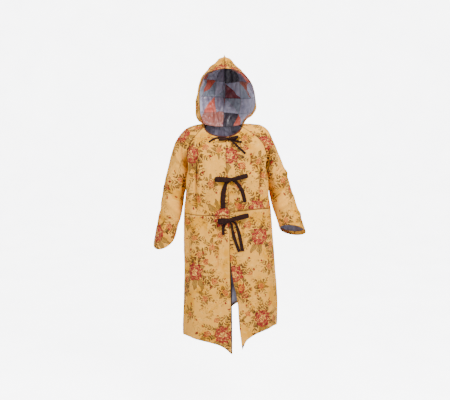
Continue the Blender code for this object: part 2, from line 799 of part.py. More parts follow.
def cell_normals(grid, closed):
    """Adds up the cell normals at every point of a grid."""
    rows, columns = grid.shape[:2]
    total = np.zeros_like(grid)
    last = columns if closed else columns - 1
    for i in range(rows - 1):
        for j in range(last):
            k = (j + 1) % columns
            a = grid[i, j]
            b = grid[i, k]
            c = grid[i + 1, k]
            d = grid[i + 1, j]
            normal = np.cross(c - a, d - b)
            for r, s in ((i, j), (i, k), (i + 1, k), (i + 1, j)):
                total[r, s] += normal
    return total


def unit(vector):
    return vector / max(np.linalg.norm(vector), 1e-12)


class Panel:
    """A grid of points on the outer side of one piece of cloth."""

    def __init__(self, name, grid, turned, closed=False, group="body"):
        self.name = name
        self.group = group
        self.grid = grid
        self.closed = closed
        self.own = cell_normals(grid, closed) * (-1.0 if turned else 1.0)
        self.inward = None

    def inner_neighbour(self, i, j):
        """The next point inside the panel, or None where the point isn't on an edge."""
        rows, columns = self.grid.shape[:2]
        step_i = 1 if i == 0 else -1 if i == rows - 1 else 0
        step_j = 0
        if not self.closed:
            step_j = 1 if j == 0 else -1 if j == columns - 1 else 0
        if step_i == 0 and step_j == 0:
            return None
        return self.grid[i + step_i, j + step_j]


def find_inward(panels):
    """The direction and length of a wall of thickness 1 at every point.

    Panels that share a seam share the seam's mean direction, so their walls meet in a
    mitre.  In a narrow inner corner, such as under the arm, each group of panels keeps
    its own.
    """
    shared = {}
    for panel in panels:
        rows, columns = panel.grid.shape[:2]
        for i in range(rows):
            for j in range(columns):
                key = point_key(panel.grid[i, j])
                groups = shared.setdefault(key, {})
                groups[panel.group] = groups.get(panel.group, 0.0) + panel.own[i, j]
    for panel in panels:
        rows, columns = panel.grid.shape[:2]
        panel.inward = np.zeros_like(panel.grid)
        for i in range(rows):
            for j in range(columns):
                groups = shared[point_key(panel.grid[i, j])]
                directions = [unit(v) for v in groups.values()]
                mean = unit(sum(directions))
                own = unit(groups[panel.group])
                own = unit(sum(v for v in directions if float(v @ own) > 0.64))
                inside = panel.inner_neighbour(i, j)
                turn = math.degrees(math.acos(min(1.0, max(-1.0, float(mean @ own)))))
                hollow = inside is not None and (inside - panel.grid[i, j]) @ mean > 0
                if hollow or turn > 62.0:
                    keep = smooth_step((turn - 25.0) / 30.0)
                    mean = unit(mean * (1 - keep) + own * keep)
                stretch = min(1.0 / max(float(mean @ own), 0.01), 1.8)
                panel.inward[i, j] = -mean * stretch


def set_back(panel, points, margins):
    """Moves the edges of a grid of points inwards, by one margin for each side.

    margins are for the first row, the last row, the first column and the last column.
    """
    rows, columns = points.shape[:2]
    moved = points.copy()
    for i in range(rows):
        for j in range(columns):
            here = points[i, j]
            if panel.closed:
                along_row = points[i, (j + 1) % columns] - points[i, j - 1]
            else:
                along_row = points[i, min(j + 1, columns - 1)] - points[i, max(j - 1, 0)]
            along_column = points[min(i + 1, rows - 1), j] - points[max(i - 1, 0), j]
            if i == 0 and margins[0]:
                moved[i, j] += step_in(points[1, j] - here, along_row, margins[0])
            if i == rows - 1 and margins[1]:
                moved[i, j] += step_in(points[rows - 2, j] - here, along_row, margins[1])
            if panel.closed:
                continue
            if j == 0 and margins[2]:
                moved[i, j] += step_in(points[i, 1] - here, along_column, margins[2])
            if j == columns - 1 and margins[3]:
                moved[i, j] += step_in(points[i, columns - 2] - here, along_column, margins[3])
    return moved


def step_in(step, edge, margin):
    """A seam's small margin goes square to the edge, a wide one along the cloth's threads."""
    if margin > 2 * SEAM_GAP:
        return unit(step) * margin
    edge = unit(edge)
    return unit(step - edge * float(step @ edge)) * margin


def wall_mesh(name, outer, inner, closed, turned):
    """A closed mesh between an outer and an inner grid of points."""
    rows, columns = outer.shape[:2]
    points = [tuple(p) for p in outer.reshape(-1, 3)] + [tuple(p) for p in inner.reshape(-1, 3)]
    shift = rows * columns
    faces = []
    last = columns if closed else columns - 1
    for i in range(rows - 1):
        for j in range(last):
            k = (j + 1) % columns
            a = i * columns + j
            b = i * columns + k
            c = (i + 1) * columns + k
            d = (i + 1) * columns + j
            for cell in ((a, b, c), (a, c, d)):
                faces.append(cell)
                faces.append(tuple(v + shift for v in reversed(cell)))
    for j in range(last):
        k = (j + 1) % columns
        faces.append((k, j, j + shift, k + shift))
        top = (rows - 1) * columns
        faces.append((top + j, top + k, top + k + shift, top + j + shift))
    if not closed:
        for i in range(rows - 1):
            a = i * columns
            b = (i + 1) * columns
            faces.append((a, b, b + shift, a + shift))
            a += columns - 1
            b += columns - 1
            faces.append((b, a, a + shift, b + shift))
    if turned:
        faces = [tuple(reversed(face)) for face in faces]
    mesh = bpy.data.meshes.new(name)
    mesh.from_pydata(points, [], faces)
    mesh.update()
    return mesh


def material(name, finish):
    """One Principled material with a plain finish."""
    made = bpy.data.materials.new(name)
    made.use_nodes = True
    shader = made.node_tree.nodes["Principled BSDF"]
    red, green, blue, rough = finish
    shader.inputs["Base Color"].default_value = (red, green, blue, 1.0)
    shader.inputs["Roughness"].default_value = rough
    shader.inputs["Metallic"].default_value = 0.0
    made.diffuse_color = (red, green, blue, 1.0)
    return made


def add_object(name, mesh, finish, parent):
    """Links a mesh as a named object of the coat."""
    made = bpy.data.objects.new(name, mesh)
    mesh.materials.append(material(name + "_cloth", finish))
    bpy.data.collections[COAT].objects.link(made)
    made.parent = parent
    mesh.shade_smooth()
    mesh.set_sharp_from_angle(angle=math.radians(50))
    return made


def add_wall(panel, turned, outside, inside, margins, finish, parent, name=None, rows=None):
    """The solid between two depths under a panel's grid."""
    pick = rows or slice(None)
    outer = set_back(panel, (panel.grid + panel.inward * outside)[pick], margins)
    inner = set_back(panel, (panel.grid + panel.inward * inside)[pick], margins)
    title = name or panel.name
    mesh = wall_mesh(title, outer, inner, panel.closed, turned)
    return add_object(title, mesh, finish, parent)


# Trim

def add_binding(name, panel, columns, turned, gap, parent):
    """A strip folded over the neckline: down the outside, over the edge and back inside."""
    thick = BINDING_THICKNESS
    profile = (
        (-gap - thick, BINDING_WIDTH),
        (-gap - thick, -gap - thick),
        (WALL + gap + thick, -gap - thick),
        (WALL + gap + thick, BINDING_WIDTH),
        (WALL + gap, BINDING_WIDTH),
        (WALL + gap, -gap),
        (-gap, -gap),
        (-gap, BINDING_WIDTH),
    )
    sections = []
    for j in columns:
        edge = panel.grid[0, j]
        reach = panel.grid[1, j] - edge
        length = float(np.linalg.norm(reach))
        section = []
        for deep, along in profile:
            share = max(along, 0.0) / length
            inward = panel.inward[0, j] * (1 - share) + panel.inward[1, j] * share
            section.append(edge + reach / length * along + inward * deep)
        sections.append(section)
    return add_swept(name, sections, turned, BINDING, parent)


def add_swept(name, sections, turned, finish, parent):
    """A closed solid through sections with the same number of corners."""
    sides = len(sections[0])
    points = [tuple(p) for section in sections for p in section]
    faces = []
    for i in range(len(sections) - 1):
        for j in range(sides):
            k = (j + 1) % sides
            faces.append((i * sides + j, i * sides + k, (i + 1) * sides + k, (i + 1) * sides + j))
    end = (len(sections) - 1) * sides
    half = sides // 2
    for j in range(half - 1):
        corners = (j, j + 1, sides - 2 - j, sides - 1 - j)
        faces.append(tuple(reversed(corners)))
        faces.append(tuple(end + v for v in corners))
    if turned:
        faces = [tuple(reversed(face)) for face in faces]
    mesh = bpy.data.meshes.new(name)
    mesh.from_pydata(points, [], faces)
    mesh.update()
    return add_object(name, mesh, finish, parent)


def add_facing(panel, parent):
    """The strip inside the right skirt front that shows past its centre edge."""
    inner = panel.grid + panel.inward * (WALL + SEAM_GAP)
    sections = []
    for i in range(4, SKIRT_ROWS + 1):
        edge = inner[i, 0]
        to_panel = unit(inner[i, 1] - edge)
        deep = unit(panel.inward[i, 0]) * BINDING_THICKNESS
        if i == SKIRT_ROWS:
            edge = edge + unit(inner[i - 1, 0] - inner[i, 0]) * 0.004
        near = edge + to_panel * FACING_UNDER
        far = edge - to_panel * FACING_SHOWS
        sections.append([far, near, near + deep, far + deep])
    return add_swept("edge_facing", sections, False, BINDING, parent)


# Bows

def front_depth(trees, x, z):
    """The y of the coat's outermost front surface at (x, z)."""
    nearest = None
    for tree in trees:
        hit = tree.ray_cast(Vector((x, -1.0, z)), Vector((0.0, 1.0, 0.0)))
        if hit[0] is not None and (nearest is None or hit[0].y < nearest):
            nearest = hit[0].y
    return nearest


def depth_around(trees, spot, step, half_width):
    """The y of the coat's outermost front surface under one stretch of ribbon."""
    found = []
    for ahead in (-1.0, 0.0, 1.0):
        for aside in (-1.0, 0.0, 1.0):
            place = spot + step * ahead + half_width * aside
            depth = front_depth(trees, place[0], place[2])
            if depth is not None:
                found.append(depth)
    return min(found)


def ribbon_strip(name, centres, across, widths):
    """An open strip of ribbon with a thickness."""
    points = []
    for centre, side, width in zip(centres, across, widths):
        points.append(tuple(centre - side * width / 2))
        points.append(tuple(centre + side * width / 2))
    faces = [(2 * k, 2 * k + 1, 2 * k + 3, 2 * k + 2) for k in range(len(centres) - 1)]
    mesh = bpy.data.meshes.new(name)
    mesh.from_pydata(points, [], faces)
    mesh.update()
    made = bpy.data.objects.new(name, mesh)
    bpy.data.collections["bow_parts"].objects.link(made)
    thick = made.modifiers.new("ribbon", "SOLIDIFY")
    thick.thickness = RIBBON
    thick.offset = 0.0
    thick.use_even_offset = True
    made.hide_render = True
    made.display_type = "WIRE"
    return made


def loop_of_ribbon(name, trees, start, tip, width):
    """Ribbon that leaves the knot, turns at the tip and comes back over itself."""
    a = np.array([start[0], 0.0, start[1]])
    b = np.array([tip[0], 0.0, tip[1]])
    along = unit(b - a)
    across = np.array([-along[2], 0.0, along[0]])
    reach = float(np.linalg.norm(b - a))
    # place along the loop, lift off the coat, share of the full width
    shape = (
        (0.00, 0.0060, 0.55),
        (0.22, 0.0040, 0.72),
        (0.50, 0.0035, 0.95),
        (0.78, 0.0040, 1.00),
        (0.93, 0.0055, 1.00),
        (1.00, 0.0090, 1.00),
        (0.95, 0.0130, 1.00),
        (0.80, 0.0155, 1.00),
        (0.50, 0.0160, 0.95),
        (0.22, 0.0130, 0.72),
        (0.00, 0.0090, 0.55),
    )
    centres = []
    for place, lift, _ in shape:
        spot = a + along * reach * place
        depth = depth_around(trees, spot, along * reach * 0.12, across * width / 2)
        centres.append(np.array([spot[0], depth - lift, spot[2]]))
    return ribbon_strip(name, centres, [across] * len(shape), [width * row[2] for row in shape])


def tail_of_ribbon(name, trees, line, width):
    """A free end of ribbon that lies on the coat."""
    path = [(x, 0.0, z) for x, z in line]
    places = evenly(smooth_curve(path)[0], 7)
    centres = []
    sides = []
    widths = []
    for k in range(len(places)):
        ahead = places[min(k + 1, len(places) - 1)] - places[max(k - 1, 0)]
        along = unit(ahead)
        across = np.array([-along[2], 0.0, along[0]])
        depth = depth_around(trees, places[k], ahead / 4, across * width / 2)
        lift = 0.0075 - 0.0050 * smooth_step(k / 3)
        centres.append(np.array([places[k][0], depth - lift, places[k][2]]))
        sides.append(across)
        widths.append(width * (0.75 + 0.25 * smooth_step(k / 2)))
    return ribbon_strip(name, centres, sides, widths)


def add_bow(name, shape, trees, parent):
    """One tied bow: the knot, with the loops and tails joined to it."""
    x, z = shape["knot"]
    parts = []
    for k, (start, tip, width) in enumerate(shape["loops"]):
        parts.append(loop_of_ribbon("%s_loop_%d" % (name, k), trees, start, tip, width))
    for k, (line, width) in enumerate(shape["tails"]):
        parts.append(tail_of_ribbon("%s_tail_%d" % (name, k), trees, line, width))
    bpy.ops.mesh.primitive_uv_sphere_add(segments=10, ring_count=6, radius=0.5)
    knot = bpy.context.object
    knot.name = name
    wide, deep, tall = KNOT_SIZE
    # the knot rests on the cloth: every point of its back is at least a seam's gap clear
    centre_y = 0.0
    for share in (0.0, 0.25, 0.50, 0.75, 0.98):
        for k in range(16):
            turn = math.pi / 8 * k
            a = x + wide / 2 * share * math.cos(turn)
            b = z + tall / 2 * share * math.sin(turn)
            back = deep / 2 * math.sqrt(1.0 - share**2)
            centre_y = min(centre_y, front_depth(trees, a, b) - SEAM_GAP - back)
    for vertex in knot.data.vertices:
        vertex.co = Vector((vertex.co.x * wide, vertex.co.y * deep, vertex.co.z * tall))
    knot.location = (x, centre_y, z)
    knot.data.materials.append(material(name + "_cloth", VELVET))
    for collection in knot.users_collection:
        collection.objects.unlink(knot)
    bpy.data.collections[COAT].objects.link(knot)
    knot.parent = parent
    for part in parts:
        join = knot.modifiers.new(part.name, "BOOLEAN")
        join.operation = "UNION"
        join.solver = "EXACT"
        join.object = part
    return knot


# The whole coat

def clear_scene():
    for old in list(bpy.data.objects):
        bpy.data.objects.remove(old, do_unlink=True)
    for name in (COAT, "bow_parts"):
        collection = bpy.data.collections.get(name) or bpy.data.collections.new(name)
        if collection.name not in bpy.context.scene.collection.children:
            bpy.context.scene.collection.children.link(collection)


def build():
    clear_scene()
    root = bpy.data.objects.new("coat", None)
    bpy.data.collections[COAT].objects.link(root)
    half_gap = SEAM_GAP / 2

    front_right, seam_right = bodice_front("right")
    front_left, seam_left = bodice_front("left")
    tuck_under(front_left, front_right)
    skirt_right = skirt_front("right", front_right[-1])
    skirt_left = skirt_front("left", front_left[-1])
    tuck_under(skirt_left[1:], skirt_right)
    back, back_seam_right, back_seam_left = bodice_back()
    turned = {
        "bodice_front_right": False,
        "bodice_front_left": True,
        "bodice_back": False,
        "skirt_front_right": False,
        "skirt_front_left": True,
        "skirt_back": False,
        "sleeve_right": True,
        "sleeve_left": False,
        "hood_right": True,
        "hood_left": False,
    }
    grids = {
        "bodice_front_right": front_right,
        "bodice_front_left": front_left,
        "bodice_back": back,
        "skirt_front_right": skirt_right,
        "skirt_front_left": skirt_left,
        "skirt_back": skirt_back(back[-1]),
        "sleeve_right": sleeve("right", seam_right, back_seam_right),
        "sleeve_left": sleeve("left", seam_left, back_seam_left),
        "hood_right": hood_half("right"),
        "hood_left": hood_half("left"),
    }
    panels = {}
    for name, grid in grids.items():
        group = name if name.startswith("sleeve") else "hood" if name.startswith("hood") else "body"
        panels[name] = Panel(name, grid, turned[name], name.startswith("sleeve"), group)
    find_inward(list(panels.values()))

    g = half_gap
    # margins: first row, last row, first column, last column
    margins = {
        "bodice_front_right": (g, g, 0.0, g),
        "bodice_front_left": (g, g, 0.0, g),
        "bodice_back": (g, g, g, g),
        "skirt_front_right": (g, 0.0, 0.0, g),
        "skirt_front_left": (g, 0.0, 0.0, g),
        "skirt_back": (g, 0.0, g, g),
        "sleeve_right": (g, 0.0, 0.0, 0.0),
        "sleeve_left": (g, 0.0, 0.0, 0.0),
        "hood_right": (g, g, 0.0, g),
        "hood_left": (g, g, 0.0, g),
    }
    for name, panel in panels.items():
        wall = HOOD_WALL if name.startswith("hood") else WALL
        add_wall(panel, turned[name], 0.0, wall, margins[name], BROCADE, root)

    for side in ("right", "left"):
        hood = panels["hood_" + side]
        outside = HOOD_WALL + LAYER_GAP
        add_wall(hood, turned[hood.name], outside, outside + LINING, (0.0005, g, 0.003, g),
                 PATCHWORK, root, name="hood_lining_" + side)
        arm = panels["sleeve_" + side]
        outside = WALL + SEAM_GAP
        add_wall(arm, turned[arm.name], outside, outside + LINING, (0.0, 0.004, 0.0, 0.0),
                 SATIN, root, name="cuff_lining_" + side, rows=slice(-4, None))
    add_back_lining(panels, root)

    for side, sign, first, gap in (("right", False, 0, LAYER_GAP), ("left", True, 3, 2 * LAYER_GAP)):
        front = panels["bodice_front_" + side]
        add_binding("neck_binding_" + side, front, range(first, FRONT_COLUMNS), sign, gap, root)
    add_facing(panels["skirt_front_right"], root)

    names = ("bodice_front_right", "bodice_front_left", "skirt_front_right", "skirt_front_left")
    trees = [surface_tree(panels[name].grid) for name in names]
    for name, shape in BOWS.items():
        add_bow(name, shape, trees, root)


def add_back_lining(panels, parent):
    """The satin inside the back, from the neck to just above the hem, with some ease."""
    upper = panels["bodice_back"]
    lower = panels["skirt_back"]
    grid = np.concatenate([upper.grid, lower.grid[1:]])
    inward = np.concatenate([upper.inward, lower.inward[1:]])
    rows, columns = grid.shape[:2]
    face = grid.copy()
    for i in range(rows):
        for j in range(columns):
            from_side = smooth_step(min(j, columns - 1 - j) / 3)
            from_ends = smooth_step(min(i, rows - 1 - i) / 3)
            under_arm = max(0.0, 1.0 - abs(i - YOKE_ROWS) / 4) * (1.0 - from_side)
            depth = WALL + LAYER_GAP + LINING_EASE * max(from_side * from_ends, 0.6 * under_arm)
            face[i, j] = grid[i, j] + inward[i, j] * depth
        # the lining's corner is cut away where the raglan seam meets the side seam
        cut = 0.90 * max(0.0, 1.0 - abs(i - YOKE_ROWS + 0.5) / 3)
        face[i, 0] += cut * (face[i, 1] - face[i, 0])
        face[i, -1] += cut * (face[i, -2] - face[i, -1])
    whole = Panel("back_lining", face, False)
    whole.inward = inward
    margins = (0.002, 0.012, 0.008, 0.008)
    return add_wall(whole, False, 0.0, LINING, margins, SATIN, parent)


build()
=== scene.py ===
"""Dresses the hooded tapestry coat: cloth with its creases, linings, ribbons and stitches."""

import math

import bpy
import numpy as np
from bpy.props import FloatProperty, FloatVectorProperty, PointerProperty
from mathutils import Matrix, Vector, noise
from mathutils.bvhtree import BVHTree


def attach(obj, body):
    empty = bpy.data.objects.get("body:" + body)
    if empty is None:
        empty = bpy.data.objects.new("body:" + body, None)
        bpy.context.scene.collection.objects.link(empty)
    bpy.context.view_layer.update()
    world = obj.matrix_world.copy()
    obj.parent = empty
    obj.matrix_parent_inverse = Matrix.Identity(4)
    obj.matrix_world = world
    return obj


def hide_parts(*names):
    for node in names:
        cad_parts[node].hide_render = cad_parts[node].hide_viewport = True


bl_info = {
    "name": "Hooded Tapestry Coat",
    "version": (1, 0, 0),
    "blender": (4, 5, 0),
    "location": "3D View > Sidebar > Coat",
    "description": "Makes a long hooded coat of flowered tapestry cloth with ribbon bows",
    "category": "Add Mesh",
}

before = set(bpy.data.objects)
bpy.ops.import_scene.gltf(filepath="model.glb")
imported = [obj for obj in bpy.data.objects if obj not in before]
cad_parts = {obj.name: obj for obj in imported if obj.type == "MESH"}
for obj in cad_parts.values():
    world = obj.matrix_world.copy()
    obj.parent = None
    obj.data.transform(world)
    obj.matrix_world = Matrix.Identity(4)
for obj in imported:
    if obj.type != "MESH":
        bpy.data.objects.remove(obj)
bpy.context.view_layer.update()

# Cloth
WALL = 0.0024
HOOD_WALL = 0.0018
LINING = 0.0012
SEAM_GAP = 0.0003
LAYER_GAP = 0.0006
LAP_DROP = 0.0052
LINING_EASE = 0.0050

# Ribbon and edge strips
RIBBON = 0.0014
KNOT_SIZE = (0.022, 0.013, 0.018)
BINDING_WIDTH = 0.0065
BINDING_THICKNESS = 0.0008
FACING_SHOWS = 0.0070
FACING_UNDER = 0.0120

# Stitches: the thread's thickness, a stitch's length and the cuff's row that they sit on
THREAD = 0.0007
STITCH_LENGTH = 0.0032
CUFF_STITCH_ROW = -4

# The wearer's sides, in the order of the tables' columns
SIDES = ("right", "left")

# Number of cells along each panel
FRONT_COLUMNS = 12
BACK_COLUMNS = 16
YOKE_ROWS = 8
BODICE_ROWS = 6
SKIRT_ROWS = 12
NECK_CELLS = 4
SHOULDER_ROWS = 7
ARM_ROWS = 10
HOOD_ROWS = 12

# The body of the coat, from the arm seams down to the hem: half width to the wearer's
# right and left, depth in front and behind, squareness of the corners (1 is round) and
# how far the side is pressed in beside each arm.
#        z     right   left   front  back   round  dent_r  dent_l
TORSO = (
    (-0.14, 0.2135, 0.2085, 0.117, 0.106, 0.66, 0.0400, 0.0420),
    (-0.19, 0.2160, 0.2120, 0.126, 0.114, 0.66, 0.0440, 0.0470),
    (-0.23, 0.2175, 0.2130, 0.131, 0.117, 0.66, 0.0380, 0.0400),
    (-0.27, 0.2185, 0.2140, 0.134, 0.118, 0.67, 0.0280, 0.0285),
    (-0.33, 0.2185, 0.2140, 0.133, 0.116, 0.68, 0.0155, 0.0145),
    (-0.37, 0.2188, 0.2145, 0.130, 0.114, 0.70, 0.0060, 0.0040),
    (-0.42, 0.2190, 0.2185, 0.128, 0.113, 0.72, 0.0, 0.0),
    (-0.50, 0.2200, 0.2250, 0.132, 0.118, 0.74, 0.0, 0.0),
    (-0.60, 0.2206, 0.2330, 0.138, 0.126, 0.76, 0.0, 0.0),
    (-0.70, 0.2190, 0.2415, 0.143, 0.134, 0.78, 0.0, 0.0),
    (-0.80, 0.2210, 0.2500, 0.147, 0.142, 0.80, 0.0, 0.0),
    (-0.90, 0.2240, 0.2570, 0.152, 0.148, 0.80, 0.0, 0.0),
    (-1.00, 0.2290, 0.2560, 0.157, 0.153, 0.80, 0.0, 0.0),
    (-1.12, 0.2290, 0.2540, 0.162, 0.158, 0.80, 0.0, 0.0),
)
# Half the body's usual width and depth, for directions round it
BODY_HALF_WIDTH = 0.225
BODY_HALF_DEPTH = 0.140
DENT_CENTRE = 0.004
DENT_WIDTH = 0.060

# The front edges.  The wearer's right front laps over the left one, and the two part
# towards the hem.
#              z      right    left
FRONT_EDGE = (
    (-0.05, -0.0040, -0.0240),
    (-0.10, -0.0070, -0.0270),
    (-0.20, -0.0070, -0.0270),
    (-0.24, 0.0000, -0.0200),
    (-0.27, 0.0060, -0.0150),
    (-0.35, 0.0080, -0.0120),
    (-0.43, 0.0100, -0.0100),
    (-0.55, 0.0110, 0.0010),
    (-0.65, 0.0120, 0.0118),
    (-0.74, 0.0135, 0.0240),
    (-0.80, 0.0155, 0.0385),
    (-0.87, 0.0172, 0.0500),
    (-0.96, 0.0185, 0.0560),
    (-1.04, 0.0195, 0.0655),
    (-1.11, 0.0195, 0.0750),
)

# Heights of the waist seam and the hem at a fraction of each panel's width.
#               at    right front  left front
WAIST_FRONT = (
    (0.0, -0.430, -0.418),
    (0.5, -0.431, -0.401),
    (1.0, -0.424, -0.408),
)
HEM_FRONT = (
    (0.00, -1.117, -1.097),
    (0.06, -1.097, -1.065),
    (0.13, -1.080, -1.044),
    (0.25, -1.066, -1.023),
    (0.42, -1.053, -1.006),
    (0.65, -1.046, -0.999),
    (1.00, -1.062, -1.010),
)
#               at    back panel, from the wearer's right side to the left
WAIST_BACK = (
    (0.0, -0.424),
    (0.5, -0.410),
    (1.0, -0.408),
)
HEM_BACK = (
    (0.00, -1.062),
    (0.22, -1.020),
    (0.42, -0.992),
    (0.50, -0.978),
    (0.57, -0.946),
    (0.70, -0.944),
    (1.00, -1.010),
)
YOKE_LINE_CENTRE = -0.160
YOKE_LINE_SIDE = -0.186

# Points on the neckline.
NECK_FRONT_RIGHT = (
    (-0.0040, -0.0905, -0.0500),
    (-0.0380, -0.0885, -0.0475),
    (-0.0700, -0.0805, -0.0405),
    (-0.0940, -0.0670, -0.0280),
    (-0.1160, -0.0450, -0.0060),
)
NECK_FRONT_LEFT = (
    (-0.0240, -0.0905, -0.0505),
    (0.0050, -0.0890, -0.0480),
    (0.0340, -0.0805, -0.0370),
    (0.0540, -0.0680, -0.0235),
    (0.0715, -0.0450, -0.0030),
)
NECK_REST = (
    (-0.1160, -0.0450, -0.0060),
    (-0.1240, 0.0040, 0.0120),
    (-0.1050, 0.0520, 0.0060),
    (-0.0650, 0.0755, 0.0000),
    (-0.0210, 0.0820, -0.0020),
    (0.0230, 0.0755, 0.0000),
    (0.0620, 0.0520, 0.0060),
    (0.0810, 0.0040, 0.0120),
    (0.0715, -0.0450, -0.0030),
)

# The raglan seams, from under the arm up to the neck.
RAGLAN = {
    ("right", "front"): (
        (-0.1720, 0.0040, -0.1860),
        (-0.1800, -0.0120, -0.1840),
        (-0.1965, -0.0320, -0.1700),
        (-0.2005, -0.0520, -0.1480),
        (-0.1925, -0.0690, -0.1120),
        (-0.1820, -0.0800, -0.0820),
        (-0.1690, -0.0860, -0.0590),
        (-0.1510, -0.0820, -0.0390),
        (-0.1340, -0.0670, -0.0210),
        (-0.1160, -0.0450, -0.0060),
    ),
    ("left", "front"): (
        (0.1650, 0.0040, -0.1860),
        (0.1730, -0.0120, -0.1830),
        (0.1890, -0.0320, -0.1690),
        (0.1935, -0.0520, -0.1470),
        (0.1830, -0.0690, -0.1100),
        (0.1700, -0.0790, -0.0790),
        (0.1500, -0.0850, -0.0570),
        (0.1250, -0.0830, -0.0380),
        (0.0990, -0.0680, -0.0200),
        (0.0715, -0.0450, -0.0030),
    ),
    ("right", "back"): (
        (-0.1720, 0.0040, -0.1860),
        (-0.1810, 0.0200, -0.1820),
        (-0.1935, 0.0420, -0.1660),
        (-0.1930, 0.0620, -0.1400),
        (-0.1810, 0.0800, -0.1060),
        (-0.1640, 0.0890, -0.0740),
        (-0.1440, 0.0870, -0.0440),
        (-0.1240, 0.0720, -0.0160),
        (-0.1050, 0.0520, 0.0060),
    ),
    ("left", "back"): (
        (0.1650, 0.0040, -0.1860),
        (0.1740, 0.0200, -0.1820),
        (0.1860, 0.0420, -0.1660),
        (0.1840, 0.0620, -0.1400),
        (0.1680, 0.0800, -0.1060),
        (0.1450, 0.0890, -0.0740),
        (0.1160, 0.0870, -0.0440),
        (0.0880, 0.0720, -0.0160),
        (0.0620, 0.0520, 0.0060),
    ),
}

# The line over the top of each shoulder, from the neck out to the arm.
SHOULDER_TOP = {
    "right": (
        (-0.1240, 0.0120),
        (-0.1660, 0.0070),
        (-0.2060, -0.0060),
        (-0.2310, -0.0280),
        (-0.2470, -0.0520),
        (-0.2660, -0.0890),
        (-0.2810, -0.1290),
        (-0.2923, -0.1890),
    ),
    "left": (
        (0.0810, 0.0120),
        (0.1410, 0.0125),
        (0.1720, 0.0085),
        (0.1950, -0.0040),
        (0.2125, -0.0270),
        (0.2260, -0.0690),
        (0.2460, -0.1090),
        (0.2770, -0.1870),
    ),
}

# Sections of the sleeves below the arm seam: the inner and the outer point as seen from
# the front, the middle's depth, the half depth and how far the front edge drops.
#    inner x  inner z  outer x  outer z    y      deep    drop
ARM = {
    "right": (
        (-0.1790, -0.215, -0.2923, -0.189, 0.004, 0.066, 0.000),
        (-0.1890, -0.255, -0.3045, -0.235, 0.004, 0.064, 0.000),
        (-0.2010, -0.298, -0.3170, -0.281, 0.003, 0.062, 0.000),
        (-0.2115, -0.342, -0.3265, -0.328, 0.001, 0.061, 0.000),
        (-0.2215, -0.386, -0.3345, -0.376, -0.002, 0.060, 0.002),
        (-0.2290, -0.425, -0.3425, -0.424, -0.006, 0.059, 0.006),
        (-0.2370, -0.463, -0.3525, -0.473, -0.010, 0.058, 0.014),
        (-0.2500, -0.506, -0.3635, -0.530, -0.014, 0.058, 0.024),
        (-0.2620, -0.549, -0.3740, -0.590, -0.018, 0.059, 0.034),
    ),
    "left": (
        (0.1730, -0.215, 0.2770, -0.187, 0.004, 0.066, 0.000),
        (0.1860, -0.255, 0.2930, -0.229, 0.004, 0.064, 0.000),
        (0.1980, -0.298, 0.3085, -0.269, 0.003, 0.062, 0.000),
        (0.2085, -0.340, 0.3210, -0.312, 0.001, 0.061, 0.000),
        (0.2195, -0.375, 0.3345, -0.352, -0.003, 0.060, 0.000),
        (0.2290, -0.408, 0.3475, -0.394, -0.008, 0.060, -0.004),
        (0.2385, -0.438, 0.3600, -0.431, -0.014, 0.060, -0.009),
        (0.2490, -0.469, 0.3740, -0.474, -0.021, 0.061, -0.020),
        (0.2614, -0.508, 0.3940, -0.530, -0.028, 0.062, -0.034),
    ),
}

# Sections of the hood, one row from the front edge round to the centre seam: the front
# edge, the side, the back quarter and the seam.  Only x differs between the halves.
HOOD = (
    # front edge: right x, left x, y, z      side: right x, left x, y, z
    # quarter: right x, left x, y, z         seam: x, y, z
    ((-0.1240, 0.0800, -0.048, 0.024), (-0.1570, 0.1040, 0.010, 0.034),
     (-0.1160, 0.0760, 0.075, 0.030), (-0.0200, 0.105, 0.035)),
    ((-0.1330, 0.1100, -0.052, 0.052), (-0.1590, 0.1330, 0.015, 0.066),
     (-0.1200, 0.0920, 0.090, 0.066), (-0.0180, 0.128, 0.075)),
    ((-0.1365, 0.1345, -0.055, 0.090), (-0.1560, 0.1370, 0.020, 0.108),
     (-0.1200, 0.0980, 0.100, 0.112), (-0.0165, 0.142, 0.125)),
    ((-0.1385, 0.1340, -0.056, 0.150), (-0.1505, 0.1310, 0.020, 0.152),
     (-0.1140, 0.0930, 0.103, 0.160), (-0.0150, 0.149, 0.175)),
    ((-0.1310, 0.1160, -0.054, 0.205), (-0.1400, 0.1155, 0.020, 0.207),
     (-0.1020, 0.0780, 0.105, 0.216), (-0.0145, 0.150, 0.225)),
    ((-0.1100, 0.0850, -0.048, 0.247), (-0.1240, 0.0900, 0.025, 0.247),
     (-0.0830, 0.0600, 0.106, 0.264), (-0.0145, 0.147, 0.270)),
    ((-0.0740, 0.0560, -0.042, 0.2655), (-0.0920, 0.0550, 0.045, 0.285),
     (-0.0540, 0.0300, 0.108, 0.304), (-0.0150, 0.140, 0.310)),
    ((-0.0390, 0.0230, -0.038, 0.2745), (-0.0520, 0.0230, 0.075, 0.326),
     (-0.0320, 0.0030, 0.110, 0.336), (-0.0153, 0.131, 0.338)),
    ((-0.0120, -0.0120, -0.036, 0.2785), (-0.0145, -0.0145, 0.060, 0.3350),
     (-0.0150, -0.0150, 0.092, 0.349), (-0.0155, 0.118, 0.358)),
)

